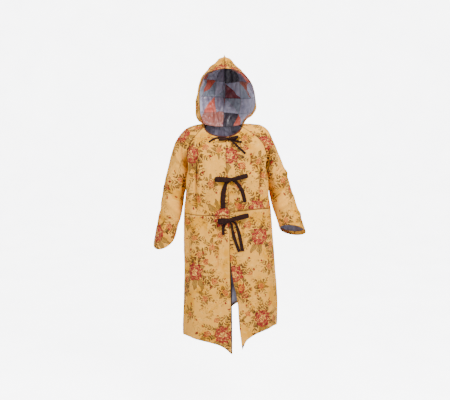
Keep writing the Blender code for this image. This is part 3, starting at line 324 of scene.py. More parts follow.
# Large folds of the front and the back: a line from (x, z) to (x, z), its half width and
# how far it stands out (or goes in, below zero).
FRONT_FOLDS = (
    ((0.094, -0.045), (0.100, -0.240), 0.026, 0.0050),
    ((0.130, -0.075), (0.134, -0.220), 0.022, -0.0045),
    ((-0.146, -0.170), (-0.150, -0.400), 0.024, -0.0055),
    ((-0.095, -0.130), (-0.085, -0.300), 0.030, 0.0040),
    ((-0.050, -0.480), (-0.048, -0.700), 0.022, -0.0050),
    ((0.060, -0.300), (0.110, -0.400), 0.024, 0.0040),
)
BACK_FOLDS = (
    ((0.020, -0.120), (0.000, -0.380), 0.040, -0.0060),
    ((-0.090, -0.140), (-0.070, -0.360), 0.035, 0.0050),
    ((0.110, -0.200), (0.080, -0.400), 0.030, 0.0045),
)

# Folds of the skirt that grow towards the hem.  The angle goes round from the centre
# front, by the wearer's left side, in degrees.
#            angle  half width  depth at the hem  starts at z
HEM_FOLDS = (
    (38.0, 13.0, 0.0080, -0.60),
    (62.0, 11.0, -0.0070, -0.55),
    (118.0, 16.0, 0.0090, -0.50),
    (150.0, 14.0, -0.0120, -0.48),
    (178.0, 15.0, 0.0110, -0.45),
    (208.0, 14.0, -0.0110, -0.50),
    (240.0, 15.0, 0.0090, -0.55),
    (300.0, 12.0, -0.0060, -0.60),
    (326.0, 12.0, 0.0070, -0.62),
)

# Folds of the sleeves: place along the sleeve (0 at the arm seam, 1 at the cuff), place
# round it in degrees (0 outside, 90 in front, 180 inside), half length, half turn, height.
SLEEVE_FOLDS = (
    (0.36, 100.0, 0.060, 60.0, -0.0050),
    (0.48, 70.0, 0.060, 70.0, 0.0040),
    (0.60, 150.0, 0.060, 60.0, -0.0050),
    (0.66, 60.0, 0.055, 60.0, -0.0030),
    (0.78, 120.0, 0.060, 70.0, 0.0035),
    (0.50, 290.0, 0.070, 70.0, -0.0045),
    (0.70, 250.0, 0.060, 60.0, 0.0040),
)

# The bows.  A knot, loops that go out and come back, and free tails, as (x, z) points on
# the coat's front.  Widths are in the last column.
BOWS = {
    "bow_neck": {
        "knot": (0.008, -0.060),
        "loops": (
            ((0.006, -0.059), (-0.042, -0.063), 0.013),
            ((0.010, -0.059), (0.050, -0.050), 0.014),
        ),
        "tails": (
            (((0.006, -0.060), (-0.030, -0.054), (-0.062, -0.059), (-0.090, -0.075)), 0.009),
            (((0.010, -0.062), (0.040, -0.070), (0.068, -0.075)), 0.010),
            (((0.010, -0.063), (0.036, -0.085), (0.062, -0.108), (0.085, -0.130)), 0.010),
        ),
    },
    "bow_middle": {
        "knot": (0.018, -0.254),
        "loops": (
            ((0.016, -0.254), (-0.061, -0.252), 0.021),
            ((0.020, -0.253), (0.096, -0.234), 0.018),
        ),
        "tails": (
            (((0.020, -0.256), (0.040, -0.268), (0.060, -0.290), (0.074, -0.322), (0.084, -0.362)), 0.013),
            (((0.014, -0.257), (-0.006, -0.272), (-0.018, -0.308), (-0.023, -0.351),
              (-0.021, -0.393)), 0.017),
        ),
    },
    "bow_lower": {
        "knot": (0.010, -0.452),
        "loops": (
            ((0.008, -0.452), (-0.046, -0.458), 0.024),
            ((0.012, -0.450), (0.101, -0.428), 0.019),
        ),
        "tails": (
            (((0.006, -0.455), (-0.016, -0.472), (-0.021, -0.497), (-0.020, -0.524)), 0.010),
            (((0.012, -0.456), (0.020, -0.480), (0.029, -0.525), (0.042, -0.566), (0.057, -0.606)), 0.011),
            (((0.014, -0.455), (0.036, -0.466), (0.051, -0.500), (0.062, -0.545), (0.073, -0.602)), 0.012),
        ),
    },
}


def smooth_table(rows, at):
    """The row of values at a place between the table's rows, on a smooth curve."""
    data = np.array(rows, dtype=float)
    keys = data[:, 0]
    values = data[:, 1:]
    if keys[0] > keys[-1]:
        keys = keys[::-1]
        values = values[::-1]
    at = min(max(at, keys[0]), keys[-1])
    k = int(min(max(np.searchsorted(keys, at) - 1, 0), len(keys) - 2))
    span = keys[k + 1] - keys[k]
    t = (at - keys[k]) / span
    slope = (values[k + 1] - values[k]) / span
    before = slope
    after = slope
    if k > 0:
        before = (values[k + 1] - values[k - 1]) / (keys[k + 1] - keys[k - 1])
    if k < len(keys) - 2:
        after = (values[k + 2] - values[k]) / (keys[k + 2] - keys[k])
    h1 = 2 * t**3 - 3 * t**2 + 1
    h2 = t**3 - 2 * t**2 + t
    h3 = -2 * t**3 + 3 * t**2
    h4 = t**3 - t**2
    return h1 * values[k] + h2 * span * before + h3 * values[k + 1] + h4 * span * after


def smooth_curve(points, steps=24):
    """A fine curve through the points, and the index of each point on it."""
    p = np.array(points, dtype=float)
    first = 2 * p[0] - p[1]
    last = 2 * p[-1] - p[-2]
    q = np.vstack([first, p, last])
    fine = []
    for k in range(1, len(q) - 2):
        for s in range(steps):
            t = s / steps
            a = 2 * q[k]
            b = q[k + 1] - q[k - 1]
            c = 2 * q[k - 1] - 5 * q[k] + 4 * q[k + 1] - q[k + 2]
            d = -q[k - 1] + 3 * q[k] - 3 * q[k + 1] + q[k + 2]
            fine.append(0.5 * (a + b * t + c * t**2 + d * t**3))
    fine.append(p[-1])
    return np.array(fine), [k * steps for k in range(len(p))]


def evenly(line, cells):
    """cells + 1 points at equal steps along a fine line."""
    steps = np.linalg.norm(np.diff(line, axis=0), axis=1)
    length = np.concatenate([[0.0], np.cumsum(steps)])
    wanted = np.linspace(0.0, length[-1], cells + 1)
    result = np.stack([np.interp(wanted, length, line[:, k]) for k in range(line.shape[1])], axis=1)
    result[0] = line[0]
    result[-1] = line[-1]
    return result


def smooth_step(value):
    """0 below 0, 1 above 1, and a soft slope between."""
    t = np.clip(value, 0.0, 1.0)
    return t * t * (3 - 2 * t)


def section_point(z, angle):
    """A point of the section at height z.  The angle starts at the centre front."""
    right, left, front, back, power, dent_right, dent_left = smooth_table(TORSO, z)
    s = math.sin(angle)
    c = math.cos(angle)
    across = math.copysign(abs(s) ** power, s)
    deep = math.copysign(abs(c) ** power, c)
    half = left if s > 0 else right
    dent = dent_left if s > 0 else dent_right
    y = -deep * (front if c > 0 else back)
    x = across * half
    pressed = dent * math.exp(-(((y - DENT_CENTRE) / DENT_WIDTH) ** 4))
    x -= math.copysign(min(pressed, abs(x)), s) if abs(x) > 0.08 else 0.0
    return np.array([x, y, z])


def angle_at(z, x):
    """The angle on the front of the section at height z where it has this x."""
    right, left, *_, power = smooth_table(TORSO, z)[:5]
    half = left if x > 0 else right
    return math.copysign(math.asin((abs(x) / half) ** (1 / power)), x)


def along_section(z, start, end, fraction):
    """The point at a fraction of the section's length between two angles."""
    if fraction <= 0.0:
        return section_point(z, start)
    if fraction >= 1.0:
        return section_point(z, end)
    line = np.array([section_point(z, start + (end - start) * k / 60) for k in range(61)])
    steps = np.linalg.norm(np.diff(line, axis=0), axis=1)
    length = np.concatenate([[0.0], np.cumsum(steps)])
    at = fraction * length[-1]
    return np.array([np.interp(at, length, line[:, k]) for k in range(3)])


def fold_height(x, y, z):
    """How far the large folds lift the body of the coat at a point."""
    height = 0.0
    folds = FRONT_FOLDS if y < 0 else BACK_FOLDS
    for top, bottom, width, depth in folds:
        ax, az = top
        bx, bz = bottom
        dx = bx - ax
        dz = bz - az
        t = ((x - ax) * dx + (z - az) * dz) / (dx * dx + dz * dz)
        ends = smooth_step(min(t + 0.25, 1.25 - t) / 0.4)
        away = abs((x - ax) * dz - (z - az) * dx) / math.hypot(dx, dz)
        height += depth * ends * math.exp(-((away / width) ** 2))
    angle = math.degrees(math.atan2(x / BODY_HALF_WIDTH, -y / BODY_HALF_DEPTH)) % 360.0
    for centre, width, depth, start in HEM_FOLDS:
        turn = abs((angle - centre + 180.0) % 360.0 - 180.0)
        grown = smooth_step((start - z) / (start + 1.02))
        height += depth * grown * math.exp(-((turn / width) ** 2))
    return height


def with_folds(point):
    """A body point moved out by the folds, square to the section."""
    x, y, z = point
    across = np.array([x / BODY_HALF_WIDTH**2, y / BODY_HALF_DEPTH**2, 0.0])
    across /= np.linalg.norm(across)
    return point + across * fold_height(x, y, z)


def tuck_under(grid, over):
    """Lays the left front under the right one near the centre, down to where they part."""
    tree = surface_tree(over)
    for point in grid.reshape(-1, 3):
        edge = smooth_table(FRONT_EDGE, point[2])[0]
        near = 1.0 - smooth_step((point[0] - edge - 0.014) / 0.045)
        near *= smooth_step((point[2] + 0.95) / 0.15)
        start = Vector((min(point[0], edge - 0.001), -1.0, point[2]))
        hit = tree.ray_cast(start, Vector((0.0, 1.0, 0.0)))[0]
        if hit is None:
            start.y = point[1]
            hit = tree.find_nearest(start)[0]
        point[1] = point[1] * (1 - near) + (hit.y + LAP_DROP) * near


def surface_tree(grid):
    """A search tree of a grid's surface."""
    rows, columns = grid.shape[:2]
    points = [Vector(p) for p in grid.reshape(-1, 3)]
    faces = []
    for i in range(rows - 1):
        for j in range(columns - 1):
            a = i * columns + j
            faces.append((a, a + 1, a + columns + 1))
            faces.append((a, a + columns + 1, a + columns))
    return BVHTree.FromPolygons(points, faces)


def front_point(side, z, fraction):
    """A point of a front panel, from its centre edge (0) to the side seam (1)."""
    right_edge, left_edge = smooth_table(FRONT_EDGE, z)
    if side == "right":
        start = angle_at(z, right_edge)
        end = -math.pi / 2
    else:
        start = angle_at(z, left_edge)
        end = math.pi / 2
    return with_folds(along_section(z, start, end, fraction))


def back_point(z, fraction):
    """A point of the back panel, from the wearer's right side seam to the left one."""
    return with_folds(along_section(z, -math.pi / 2, -3 * math.pi / 2, fraction))


def coons(bottom, top, start, end):
    """A grid between four edges that meet at their ends."""
    rows = len(start) - 1
    columns = len(bottom) - 1
    grid = []
    for i in range(rows + 1):
        v = i / rows
        row = []
        for j in range(columns + 1):
            u = j / columns
            between = (1 - v) * bottom[j] + v * top[j]
            across = (1 - u) * start[i] + u * end[i]
            corners = ((1 - u) * (1 - v) * bottom[0] + u * (1 - v) * bottom[-1]
                       + (1 - u) * v * top[0] + u * v * top[-1])
            row.append(between + across - corners)
        grid.append(row)
    return np.array(grid)


def relax(grid, rows, columns, rounds, edge=None):
    """Evens out the inside points of a grid, and one edge along itself."""
    for _ in range(rounds):
        before = grid.copy()
        for i in rows:
            if edge is not None:
                grid[i, edge] = 0.75 * before[i, edge] + 0.125 * (before[i - 1, edge] + before[i + 1, edge])
            for j in columns:
                around = before[i - 1, j] + before[i + 1, j] + before[i, j - 1] + before[i, j + 1]
                grid[i, j] = 0.5 * before[i, j] + 0.125 * around
    return grid


def panel_rows(columns, steps, heights, point):
    """Rows of points between two heights, which may differ at each place across the panel."""
    rows = []
    for i in steps:
        row = []
        for j in range(columns + 1):
            u = j / columns
            start, end = heights(u)
            row.append(point(start + (end - start) * i / steps[-1], u))
        rows.append(row)
    return np.array(rows)


def yoke_line(share):
    """Height of the line under the arms, from the panel's middle (0) to its side (1)."""
    return YOKE_LINE_CENTRE + (YOKE_LINE_SIDE - YOKE_LINE_CENTRE) * share**2


def bodice_front(side):
    """Rows from the neckline down to the waist seam, columns from the centre to the side."""
    pick = SIDES.index(side)
    lower = panel_rows(FRONT_COLUMNS, range(BODICE_ROWS + 1),
                       lambda u: (smooth_table(WAIST_FRONT, u)[pick], yoke_line(u)),
                       lambda z, u: front_point(side, z, u))
    line = NECK_FRONT_RIGHT if side == "right" else NECK_FRONT_LEFT
    neck = evenly(smooth_curve(line)[0], FRONT_COLUMNS)
    raglan = evenly(smooth_curve(RAGLAN[side, "front"])[0], YOKE_ROWS)
    lower[-1, -1] = raglan[0]
    centre = []
    foot = lower[-1, 0]
    for i in range(YOKE_ROWS + 1):
        v = i / YOKE_ROWS
        z = foot[2] + (neck[0][2] - foot[2]) * v
        x = smooth_table(FRONT_EDGE, z)[pick]
        y = foot[1] + (neck[0][1] - foot[1]) * v**1.5
        centre.append(np.array([x, y, z]))
    centre[0] = foot
    centre[-1] = neck[0]
    upper = coons(lower[-1], neck, centre, raglan)
    for i in range(1, YOKE_ROWS):
        for j in range(1, FRONT_COLUMNS):
            swell = math.sin(math.pi * j / FRONT_COLUMNS) * math.sin(math.pi * i / YOKE_ROWS)
            swell *= smooth_step(abs(upper[i, j, 0] + 0.012) / 0.040)
            upper[i, j, 1] += 0.004 * swell
            upper[i, j] += np.array([0.0, -1.0, 0.0]) * fold_height(*upper[i, j])
    grid = np.concatenate([lower, upper[1:]])
    inside = range(1, FRONT_COLUMNS)
    around_yoke = range(BODICE_ROWS - 1, BODICE_ROWS + YOKE_ROWS)
    return relax(grid, around_yoke, inside, 3, edge=0)[::-1].copy(), raglan


def bodice_back():
    """Rows from the neck down to the waist seam, columns from the right side to the left."""
    lower = panel_rows(BACK_COLUMNS, range(BODICE_ROWS + 1),
                       lambda u: (smooth_table(WAIST_BACK, u)[0], yoke_line(abs(2 * u - 1))), back_point)
    right = evenly(smooth_curve(RAGLAN["right", "back"])[0], YOKE_ROWS)
    left = evenly(smooth_curve(RAGLAN["left", "back"])[0], YOKE_ROWS)
    lower[-1, 0] = right[0]
    lower[-1, -1] = left[0]
    upper = coons(lower[-1], neck_parts()["back"], right, left)
    for i in range(1, YOKE_ROWS):
        for j in range(1, BACK_COLUMNS):
            flatten = math.sin(math.pi * j / BACK_COLUMNS) * math.sin(math.pi * i / YOKE_ROWS)
            upper[i, j, 1] -= 0.032 * flatten
            upper[i, j, 1] += fold_height(*upper[i, j])
    grid = np.concatenate([lower, upper[1:]])
    around_yoke = range(BODICE_ROWS - 1, BODICE_ROWS + YOKE_ROWS)
    return relax(grid, around_yoke, range(1, BACK_COLUMNS), 3)[::-1], right, left


def skirt_front(side, top):
    """Rows from the waist seam down to the hem, under the bodice's lowest row."""
    pick = SIDES.index(side)
    rows = panel_rows(FRONT_COLUMNS, range(1, SKIRT_ROWS + 1),
                      lambda u: (smooth_table(WAIST_FRONT, u)[pick], smooth_table(HEM_FRONT, u)[pick]),
                      lambda z, u: front_point(side, z, u))
    return np.concatenate([[top], rows])


def skirt_back(top):
    """Rows from the waist seam down to the hem, under the bodice back's lowest row."""
    rows = panel_rows(BACK_COLUMNS, range(1, SKIRT_ROWS + 1),
                      lambda u: (smooth_table(WAIST_BACK, u)[0], smooth_table(HEM_BACK, u)[0]), back_point)
    return np.concatenate([[top], rows])


def neck_parts():
    """The neckline behind the front panels, cut into the sleeves' parts and the back's."""
    fine, marks = smooth_curve(NECK_REST)
    return {
        "right": evenly(fine[:marks[2] + 1], NECK_CELLS),
        "back": evenly(fine[marks[2]:marks[6] + 1], BACK_COLUMNS),
        "left": evenly(fine[marks[6]:], NECK_CELLS)[::-1],
    }


def sleeve(side, front_seam, back_seam):
    """Rings from the arm seam down to the cuff.  Column 0 is outside, then the front."""
    neck = neck_parts()[side]
    half = NECK_CELLS // 2
    loop = [neck[half - k] for k in range(half)]
    loop += [front_seam[YOKE_ROWS - k] for k in range(YOKE_ROWS + 1)]
    loop += [back_seam[k] for k in range(1, YOKE_ROWS + 1)]
    loop += [neck[NECK_CELLS - k] for k in range(1, half)]
    loop = np.array(loop)
    count = len(loop)
    arm_line = smooth_rows(ARM[side], ARM_ROWS)
    rings = [arm_ring(values, count) for values in arm_line]
    top = evenly(smooth_curve(SHOULDER_TOP[side])[0], SHOULDER_ROWS)
    grid = [loop]
    for i in range(1, SHOULDER_ROWS):
        t = i / SHOULDER_ROWS
        straight = loop[0] * (1 - t) + rings[0][0] * t
        rise = np.array([top[i][0] - straight[0], 0.0, top[i][1] - straight[2]])
        ring = []
        for j in range(count):
            share = math.cos(math.pi * j / count) ** 2
            stand_off = math.copysign(0.008 * math.sin(math.pi * t) * (1 - share), loop[0][0])
            point = loop[j] * (1 - t) + rings[0][j] * t + rise * share**0.9
            ring.append(point + np.array([stand_off, 0.0, 0.0]))
        grid.append(np.array(ring))
    grid += rings
    grid = np.array(grid)
    for _ in range(2):
        before = grid.copy()
        for i in range(1, SHOULDER_ROWS + 1):
            for j in range(count):
                if abs(j - count / 2) < 2 and i < 3:
                    continue
                beside = before[i, j - 1] + before[i, (j + 1) % count]
                along = before[i - 1, j] + before[i + 1, j]
                grid[i, j] = 0.6 * before[i, j] + 0.1 * beside + 0.1 * along
    return sleeve_folds(grid)


def smooth_rows(rows, cells):
    """Rows of a table taken at equal steps of its length, on a smooth curve."""
    return evenly(smooth_curve(rows)[0], cells)


def arm_ring(values, count):
    """One section of a sleeve."""
    inner_x, inner_z, outer_x, outer_z, y, deep, drop = values
    middle = np.array([(inner_x + outer_x) / 2, y, (inner_z + outer_z) / 2])
    out = np.array([outer_x, y, outer_z]) - middle
    front = np.array([0.0, -deep, -drop])
    ring = []
    for j in range(count):
        turn = 2 * math.pi * j / count
        ring.append(middle + out * math.cos(turn) + front * math.sin(turn))
    return np.array(ring)


def sleeve_folds(grid):
    """Lifts and presses the sleeve where its folds lie."""
    rows, count = grid.shape[:2]
    result = grid.copy()
    for i in range(SHOULDER_ROWS - 1, rows - 1):
        middle = grid[i].mean(axis=0)
        for j in range(count):
            outward = grid[i, j] - middle
            outward /= np.linalg.norm(outward)
            height = 0.0
            for place, turn, length, width, depth in SLEEVE_FOLDS:
                along = (i / (rows - 1) - place) / length
                round_it = abs((360.0 * j / count - turn + 180.0) % 360.0 - 180.0) / width
                height += depth * math.exp(-(along**2) - round_it**2)
            result[i, j] += outward * height
    return result


def hood_half(side):
    """Rows from the neck up to the ridge, columns from the front edge to the seam."""
    pick = SIDES.index(side)
    parts = neck_parts()
    half = BACK_COLUMNS // 2
    if side == "right":
        base = np.concatenate([parts["right"], parts["back"][1:half + 1]])
    else:
        base = np.concatenate([parts["left"], parts["back"][half:-1][::-1]])
    columns = len(base) - 1
    sections = []
    for front, beside, quarter, seam in HOOD:
        line = (
            (front[pick], front[2], front[3]),
            (beside[pick], beside[2], beside[3]),
            (quarter[pick], quarter[2], quarter[3]),
            seam,
        )
        sections.append(evenly(smooth_curve(line)[0], columns))
    rows = [base] + sections
    grid = []
    for j in range(columns + 1):
        upward = smooth_curve([row[j] for row in rows])[0]
        grid.append(evenly(upward, HOOD_ROWS))
    return np.array(grid).transpose(1, 0, 2)


# The mesh's fineness: steps between two neighbouring points of the cut
FINE = 6

# Beside a seam the cloth dips this far, over this width.  A fold of this depth gets painted
# shade as dark as a seam's line.  The hood's narrow tip starts at this height.
SEAM_DIP = 0.0011
SEAM_DIP_WIDTH = 0.0022
FOLD_SHADE_DEPTH = 0.0088
HOOD_TIP = 0.336

# Creases of the body: which side it is on, a line from (x, z) to (x, z), its half width,
# its height (a trough is below zero) and how one-sided it is.
BODY_CREASES = (
    ("front", (0.092, -0.050), (0.098, -0.150), 0.011, 0.0042, 0.0),
    ("front", (0.116, -0.050), (0.122, -0.165), 0.009, -0.0030, 0.0),
    ("front", (0.135, -0.095), (0.150, -0.235), 0.010, 0.0030, 0.0),
    ("front", (0.170, -0.200), (0.150, -0.300), 0.012, -0.0030, 0.0),
    ("front", (-0.152, -0.150), (-0.156, -0.420), 0.008, -0.0066, 0.0),
    ("front", (0.098, -0.075), (0.126, -0.215), 0.007, -0.0052, 0.0),
    ("front", (0.168, -0.190), (0.160, -0.330), 0.007, -0.0058, 0.0),
    ("front", (-0.053, -0.455), (-0.052, -0.690), 0.007, -0.0068, 0.0),
    ("front", (-0.190, -0.430), (-0.200, -0.760), 0.009, -0.0050, 0.0),
    ("front", (0.062, -0.440), (0.074, -0.560), 0.008, -0.0048, 0.0),
    ("front", (-0.136, -0.170), (-0.140, -0.330), 0.010, 0.0030, 0.0),
    ("front", (-0.110, -0.160), (-0.060, -0.330), 0.014, 0.0026, 0.0),
    ("front", (-0.090, -0.270), (-0.120, -0.400), 0.013, -0.0028, 0.0),
    ("front", (0.040, -0.290), (0.090, -0.410), 0.014, 0.0034, 0.0),
    ("front", (0.075, -0.270), (0.130, -0.350), 0.012, -0.0026, 0.0),
    ("front", (0.012, -0.270), (0.030, -0.400), 0.010, -0.0024, 0.0),
    ("front", (-0.051, -0.440), (-0.050, -0.700), 0.020, 0.0052, 1.0),
    ("front", (-0.120, -0.450), (-0.112, -0.640), 0.016, -0.0028, 0.0),
    ("front", (-0.160, -0.450), (-0.170, -0.900), 0.016, 0.0032, 0.0),
    ("front", (-0.085, -0.620), (-0.095, -0.980), 0.020, 0.0030, 0.0),
    ("front", (-0.020, -0.560), (-0.030, -0.900), 0.015, -0.0028, 0.0),
    ("front", (0.085, -0.430), (0.110, -0.640), 0.015, -0.0032, 0.0),
    ("front", (0.150, -0.430), (0.170, -0.760), 0.018, 0.0034, 0.0),
    ("front", (0.110, -0.700), (0.140, -1.000), 0.018, -0.0032, 0.0),
    ("front", (0.200, -0.600), (0.215, -0.980), 0.018, 0.0030, 0.0),
    ("back", (-0.020, -0.060), (-0.010, -0.280), 0.020, -0.0036, 0.0),
    ("back", (0.100, -0.110), (0.060, -0.330), 0.016, 0.0034, 0.0),
    ("back", (-0.120, -0.140), (-0.090, -0.380), 0.015, -0.0032, 0.0),
    ("back", (-0.160, -0.200), (-0.140, -0.400), 0.014, 0.0032, 0.0),
    ("back", (0.140, -0.240), (0.150, -0.400), 0.014, -0.0030, 0.0),
    ("back", (0.020, -0.250), (0.050, -0.405), 0.012, 0.0028, 0.0),
    ("back", (-0.060, -0.430), (-0.075, -0.760), 0.020, 0.0036, 0.0),
    ("back", (-0.010, -0.430), (0.005, -0.900), 0.018, -0.0036, 0.0),
    ("back", (0.070, -0.440), (0.090, -0.860), 0.018, 0.0036, 0.0),
    ("back", (0.140, -0.430), (0.160, -0.700), 0.016, -0.0030, 0.0),
    ("back", (-0.150, -0.450), (-0.160, -0.820), 0.018, -0.0034, 0.0),
)

# Creases of the sleeves: from (degrees round, share of the length) to the same, half
# width and height.  0 degrees is outside, 90 in front, 180 inside.
SLEEVE_CREASES = {
    "right": (
        ((60.0, 0.10), (130.0, 0.26), 0.014, -0.0030),
        ((20.0, 0.24), (120.0, 0.38), 0.013, 0.0030),
        ((70.0, 0.44), (150.0, 0.52), 0.012, -0.0036),
        ((40.0, 0.50), (140.0, 0.60), 0.012, 0.0036),
        ((10.0, 0.56), (110.0, 0.66), 0.012, -0.0034),
        ((60.0, 0.68), (150.0, 0.78), 0.012, 0.0030),
        ((-10.0, 0.74), (100.0, 0.86), 0.013, -0.0034),
        ((30.0, 0.88), (130.0, 0.93), 0.010, 0.0026),
        ((210.0, 0.30), (300.0, 0.44), 0.014, -0.0034),
        ((230.0, 0.48), (330.0, 0.60), 0.014, 0.0034),
        ((200.0, 0.62), (310.0, 0.74), 0.013, -0.0034),
        ((240.0, 0.80), (330.0, 0.88), 0.013, 0.0030),
    ),
    "left": (
        ((20.0, 0.12), (60.0, 0.34), 0.014, 0.0030),
        ((70.0, 0.20), (140.0, 0.34), 0.013, -0.0034),
        ((40.0, 0.42), (140.0, 0.50), 0.012, -0.0034),
        ((10.0, 0.48), (120.0, 0.60), 0.014, 0.0034),
        ((60.0, 0.62), (150.0, 0.68), 0.012, -0.0036),
        ((20.0, 0.70), (120.0, 0.78), 0.013, 0.0030),
        ((70.0, 0.82), (150.0, 0.88), 0.011, -0.0030),
        ((0.0, 0.84), (80.0, 0.92), 0.011, 0.0026),
        ((210.0, 0.26), (300.0, 0.40), 0.014, 0.0032),
        ((230.0, 0.50), (330.0, 0.58), 0.014, -0.0034),
        ((200.0, 0.64), (300.0, 0.78), 0.013, 0.0032),
        ((250.0, 0.80), (340.0, 0.90), 0.013, -0.0030),
    ),
}

# A sleeve laid flat: metres for one degree round it, and its length
METRES_PER_DEGREE = {"right": 0.00105, "left": 0.00108}
SLEEVE_LENGTH = 0.62

# Creases of the hood halves: from (share from the front edge, share of the height) to the
# same, half width as a share, and height.
HOOD_CREASES = (
    ((0.05, 0.10), (0.70, 0.30), 0.05, -0.0030),
    ((0.15, 0.34), (0.80, 0.46), 0.06, 0.0030),
    ((0.30, 0.60), (0.95, 0.52), 0.05, -0.0028),
    ((0.40, 0.85), (0.80, 0.66), 0.05, 0.0030),
    ((0.60, 0.10), (0.95, 0.24), 0.06, 0.0026),
)

# Places of the large roses that face the front, as (x, z), with the bouquet's turn in
# degrees.  The sides that don't show get theirs from the cloth's own half-drop repeat.
ROSES = {
    "bodice_front_right": ((-0.180, -0.135, 10.0), (-0.018, -0.445, 150.0)),
    "bodice_front_left": ((0.012, -0.142, -20.0), (0.143, -0.392, 30.0)),
    "skirt_front_right": ((-0.165, -0.715, 5.0), (-0.026, -1.020, 40.0), (-0.018, -0.445, 150.0)),
    "skirt_front_left": ((0.158, -0.530, 0.0), (0.036, -0.720, -30.0), (0.175, -0.940, 25.0)),
    "sleeve_left": ((0.182, -0.085, 60.0),),
    "sleeve_right": ((-0.220, -0.045, 120.0), (-0.350, -0.530, 80.0)),
}
ROSE_REPEAT = (0.260, 0.410)
SPRAY_STEP = 0.104
SPRAY_SEED = 4

# The bouquet, in metres from the large rose's middle.  Flowers: x, y, radius.
BOUQUET_FLOWERS = (
    (0.060, -0.052, 0.0180),
    (-0.052, 0.062, 0.0150),
    (0.072, 0.036, 0.0120),
)
# Leaves: x, y, degrees, length, width
BOUQUET_LEAVES = (
    (0.030, 0.018, 28.0, 0.032, 0.015),
    (0.034, -0.004, -10.0, 0.030, 0.014),
    (0.022, -0.028, -58.0, 0.034, 0.016),
    (-0.006, -0.036, -96.0, 0.058, 0.024),
    (-0.024, -0.030, -124.0, 0.062, 0.024),
    (-0.036, -0.008, 192.0, 0.032, 0.015),
    (-0.028, 0.024, 146.0, 0.028, 0.014),
    (0.006, 0.036, 80.0, 0.028, 0.012),
    (0.052, -0.072, -62.0, 0.034, 0.015),
    (-0.066, 0.052, 190.0, 0.028, 0.013),
)
# Sprigs: x, y, degrees, length, curl
BOUQUET_SPRIGS = (
    (-0.012, 0.040, 112.0, 0.066, 5.0),
    (0.016, 0.038, 74.0, 0.072, -4.0),
    (0.034, 0.026, 36.0, 0.056, 5.0),
    (0.044, -0.014, -18.0, 0.064, 6.0),
    (0.030, -0.040, -84.0, 0.066, 4.0),
    (-0.040, -0.020, 218.0, 0.060, -6.0),
    (-0.040, 0.012, 168.0, 0.058, 6.0),
    (0.064, -0.060, -30.0, 0.044, -7.0),
)
# The small spray that fills the ground between the bouquets, of the same three kinds
SPRAY_FLOWERS = (
    (0.004, 0.006, 0.0145),
)
SPRAY_LEAVES = (
    (0.014, -0.004, -32.0, 0.026, 0.012),
    (-0.010, -0.006, 218.0, 0.030, 0.013),
    (0.010, 0.018, 52.0, 0.022, 0.010),
)
SPRAY_SPRIGS = (
    (0.000, 0.020, 98.0, 0.038, 6.0),
    (0.018, 0.008, 12.0, 0.040, -7.0),
    (-0.010, 0.008, 160.0, 0.040, 8.0),
    (0.002, -0.010, -82.0, 0.040, 7.0),
)


# Finer grids of the same cloth

def spline_rows(grid, closed=False):
    """Adds FINE - 1 points between neighbouring rows, on smooth curves through them."""
    if closed:
        points = np.concatenate([grid[-1:], grid, grid[:2]])
    else:
        points = np.concatenate([2 * grid[:1] - grid[1:2], grid, 2 * grid[-1:] - grid[-2:-1]])
    t = (np.arange(FINE) / FINE)[:, None, None]
    parts = []
    for k in range(len(points) - 3):
        p0, p1, p2, p3 = points[k:k + 4]
        first = p2 - p0
        second = 2 * p0 - 5 * p1 + 4 * p2 - p3
        third = -p0 + 3 * p1 - 3 * p2 + p3
        parts.append(0.5 * (2 * p1 + first * t + second * t**2 + third * t**3))
    if not closed:
        parts.append(grid[-1:])
    return np.concatenate(parts)


def finer(name, grid, closed):
    """The grid with FINE times the rows and columns, sharp where the seams turn a corner."""
    across = spline_rows(grid.transpose(1, 0, 2), closed).transpose(1, 0, 2)
    fine = spline_rows(across)
    columns = np.arange(fine.shape[1])
    if name.startswith("bodice"):
        # the raglan seam and the side seam meet under the arm
        split = np.concatenate([spline_rows(across[:YOKE_ROWS + 1])[:-1], spline_rows(across[YOKE_ROWS:])])
        from_seam = columns[::-1] if "front" in name else np.minimum(columns, columns[::-1])
        share = np.clip(1.0 - from_seam / (2.0 * FINE), 0.0, 1.0)
        return fine + (split - fine) * share[None, :, None]
    corners = {"sleeve": (0, 8, 12, 20), "hood": (0, NECK_CELLS, NECK_CELLS + BACK_COLUMNS // 2)}
    corners = corners.get(name.split("_")[0])
    if corners:
        # the top of a sleeve and the foot of the hood follow the seams that they are sewn to
        base = np.concatenate([grid[0], grid[0, :1]]) if closed else grid[0]
        arcs = [spline_rows(base[a:b + 1, None])[:-1, 0] for a, b in zip(corners, corners[1:])]
        edge = np.concatenate(arcs if closed else arcs + [base[-1:]])
        share = np.clip(1.0 - np.arange(len(fine)) / (2.0 * FINE), 0.0, 1.0)
        fine = fine + (edge - fine[0])[None] * share[:, None, None]
    return fine


def outward(points, closed, turned):
    """The directions out of the cloth."""
    down = np.gradient(points, axis=0)
    if closed:
        along = np.roll(points, -1, axis=1) - np.roll(points, 1, axis=1)
    else:
        along = np.gradient(points, axis=1)
    normal = np.cross(along, down) * (-1.0 if turned else 1.0)
    return normal / np.maximum(np.linalg.norm(normal, axis=2, keepdims=True), 1e-12)


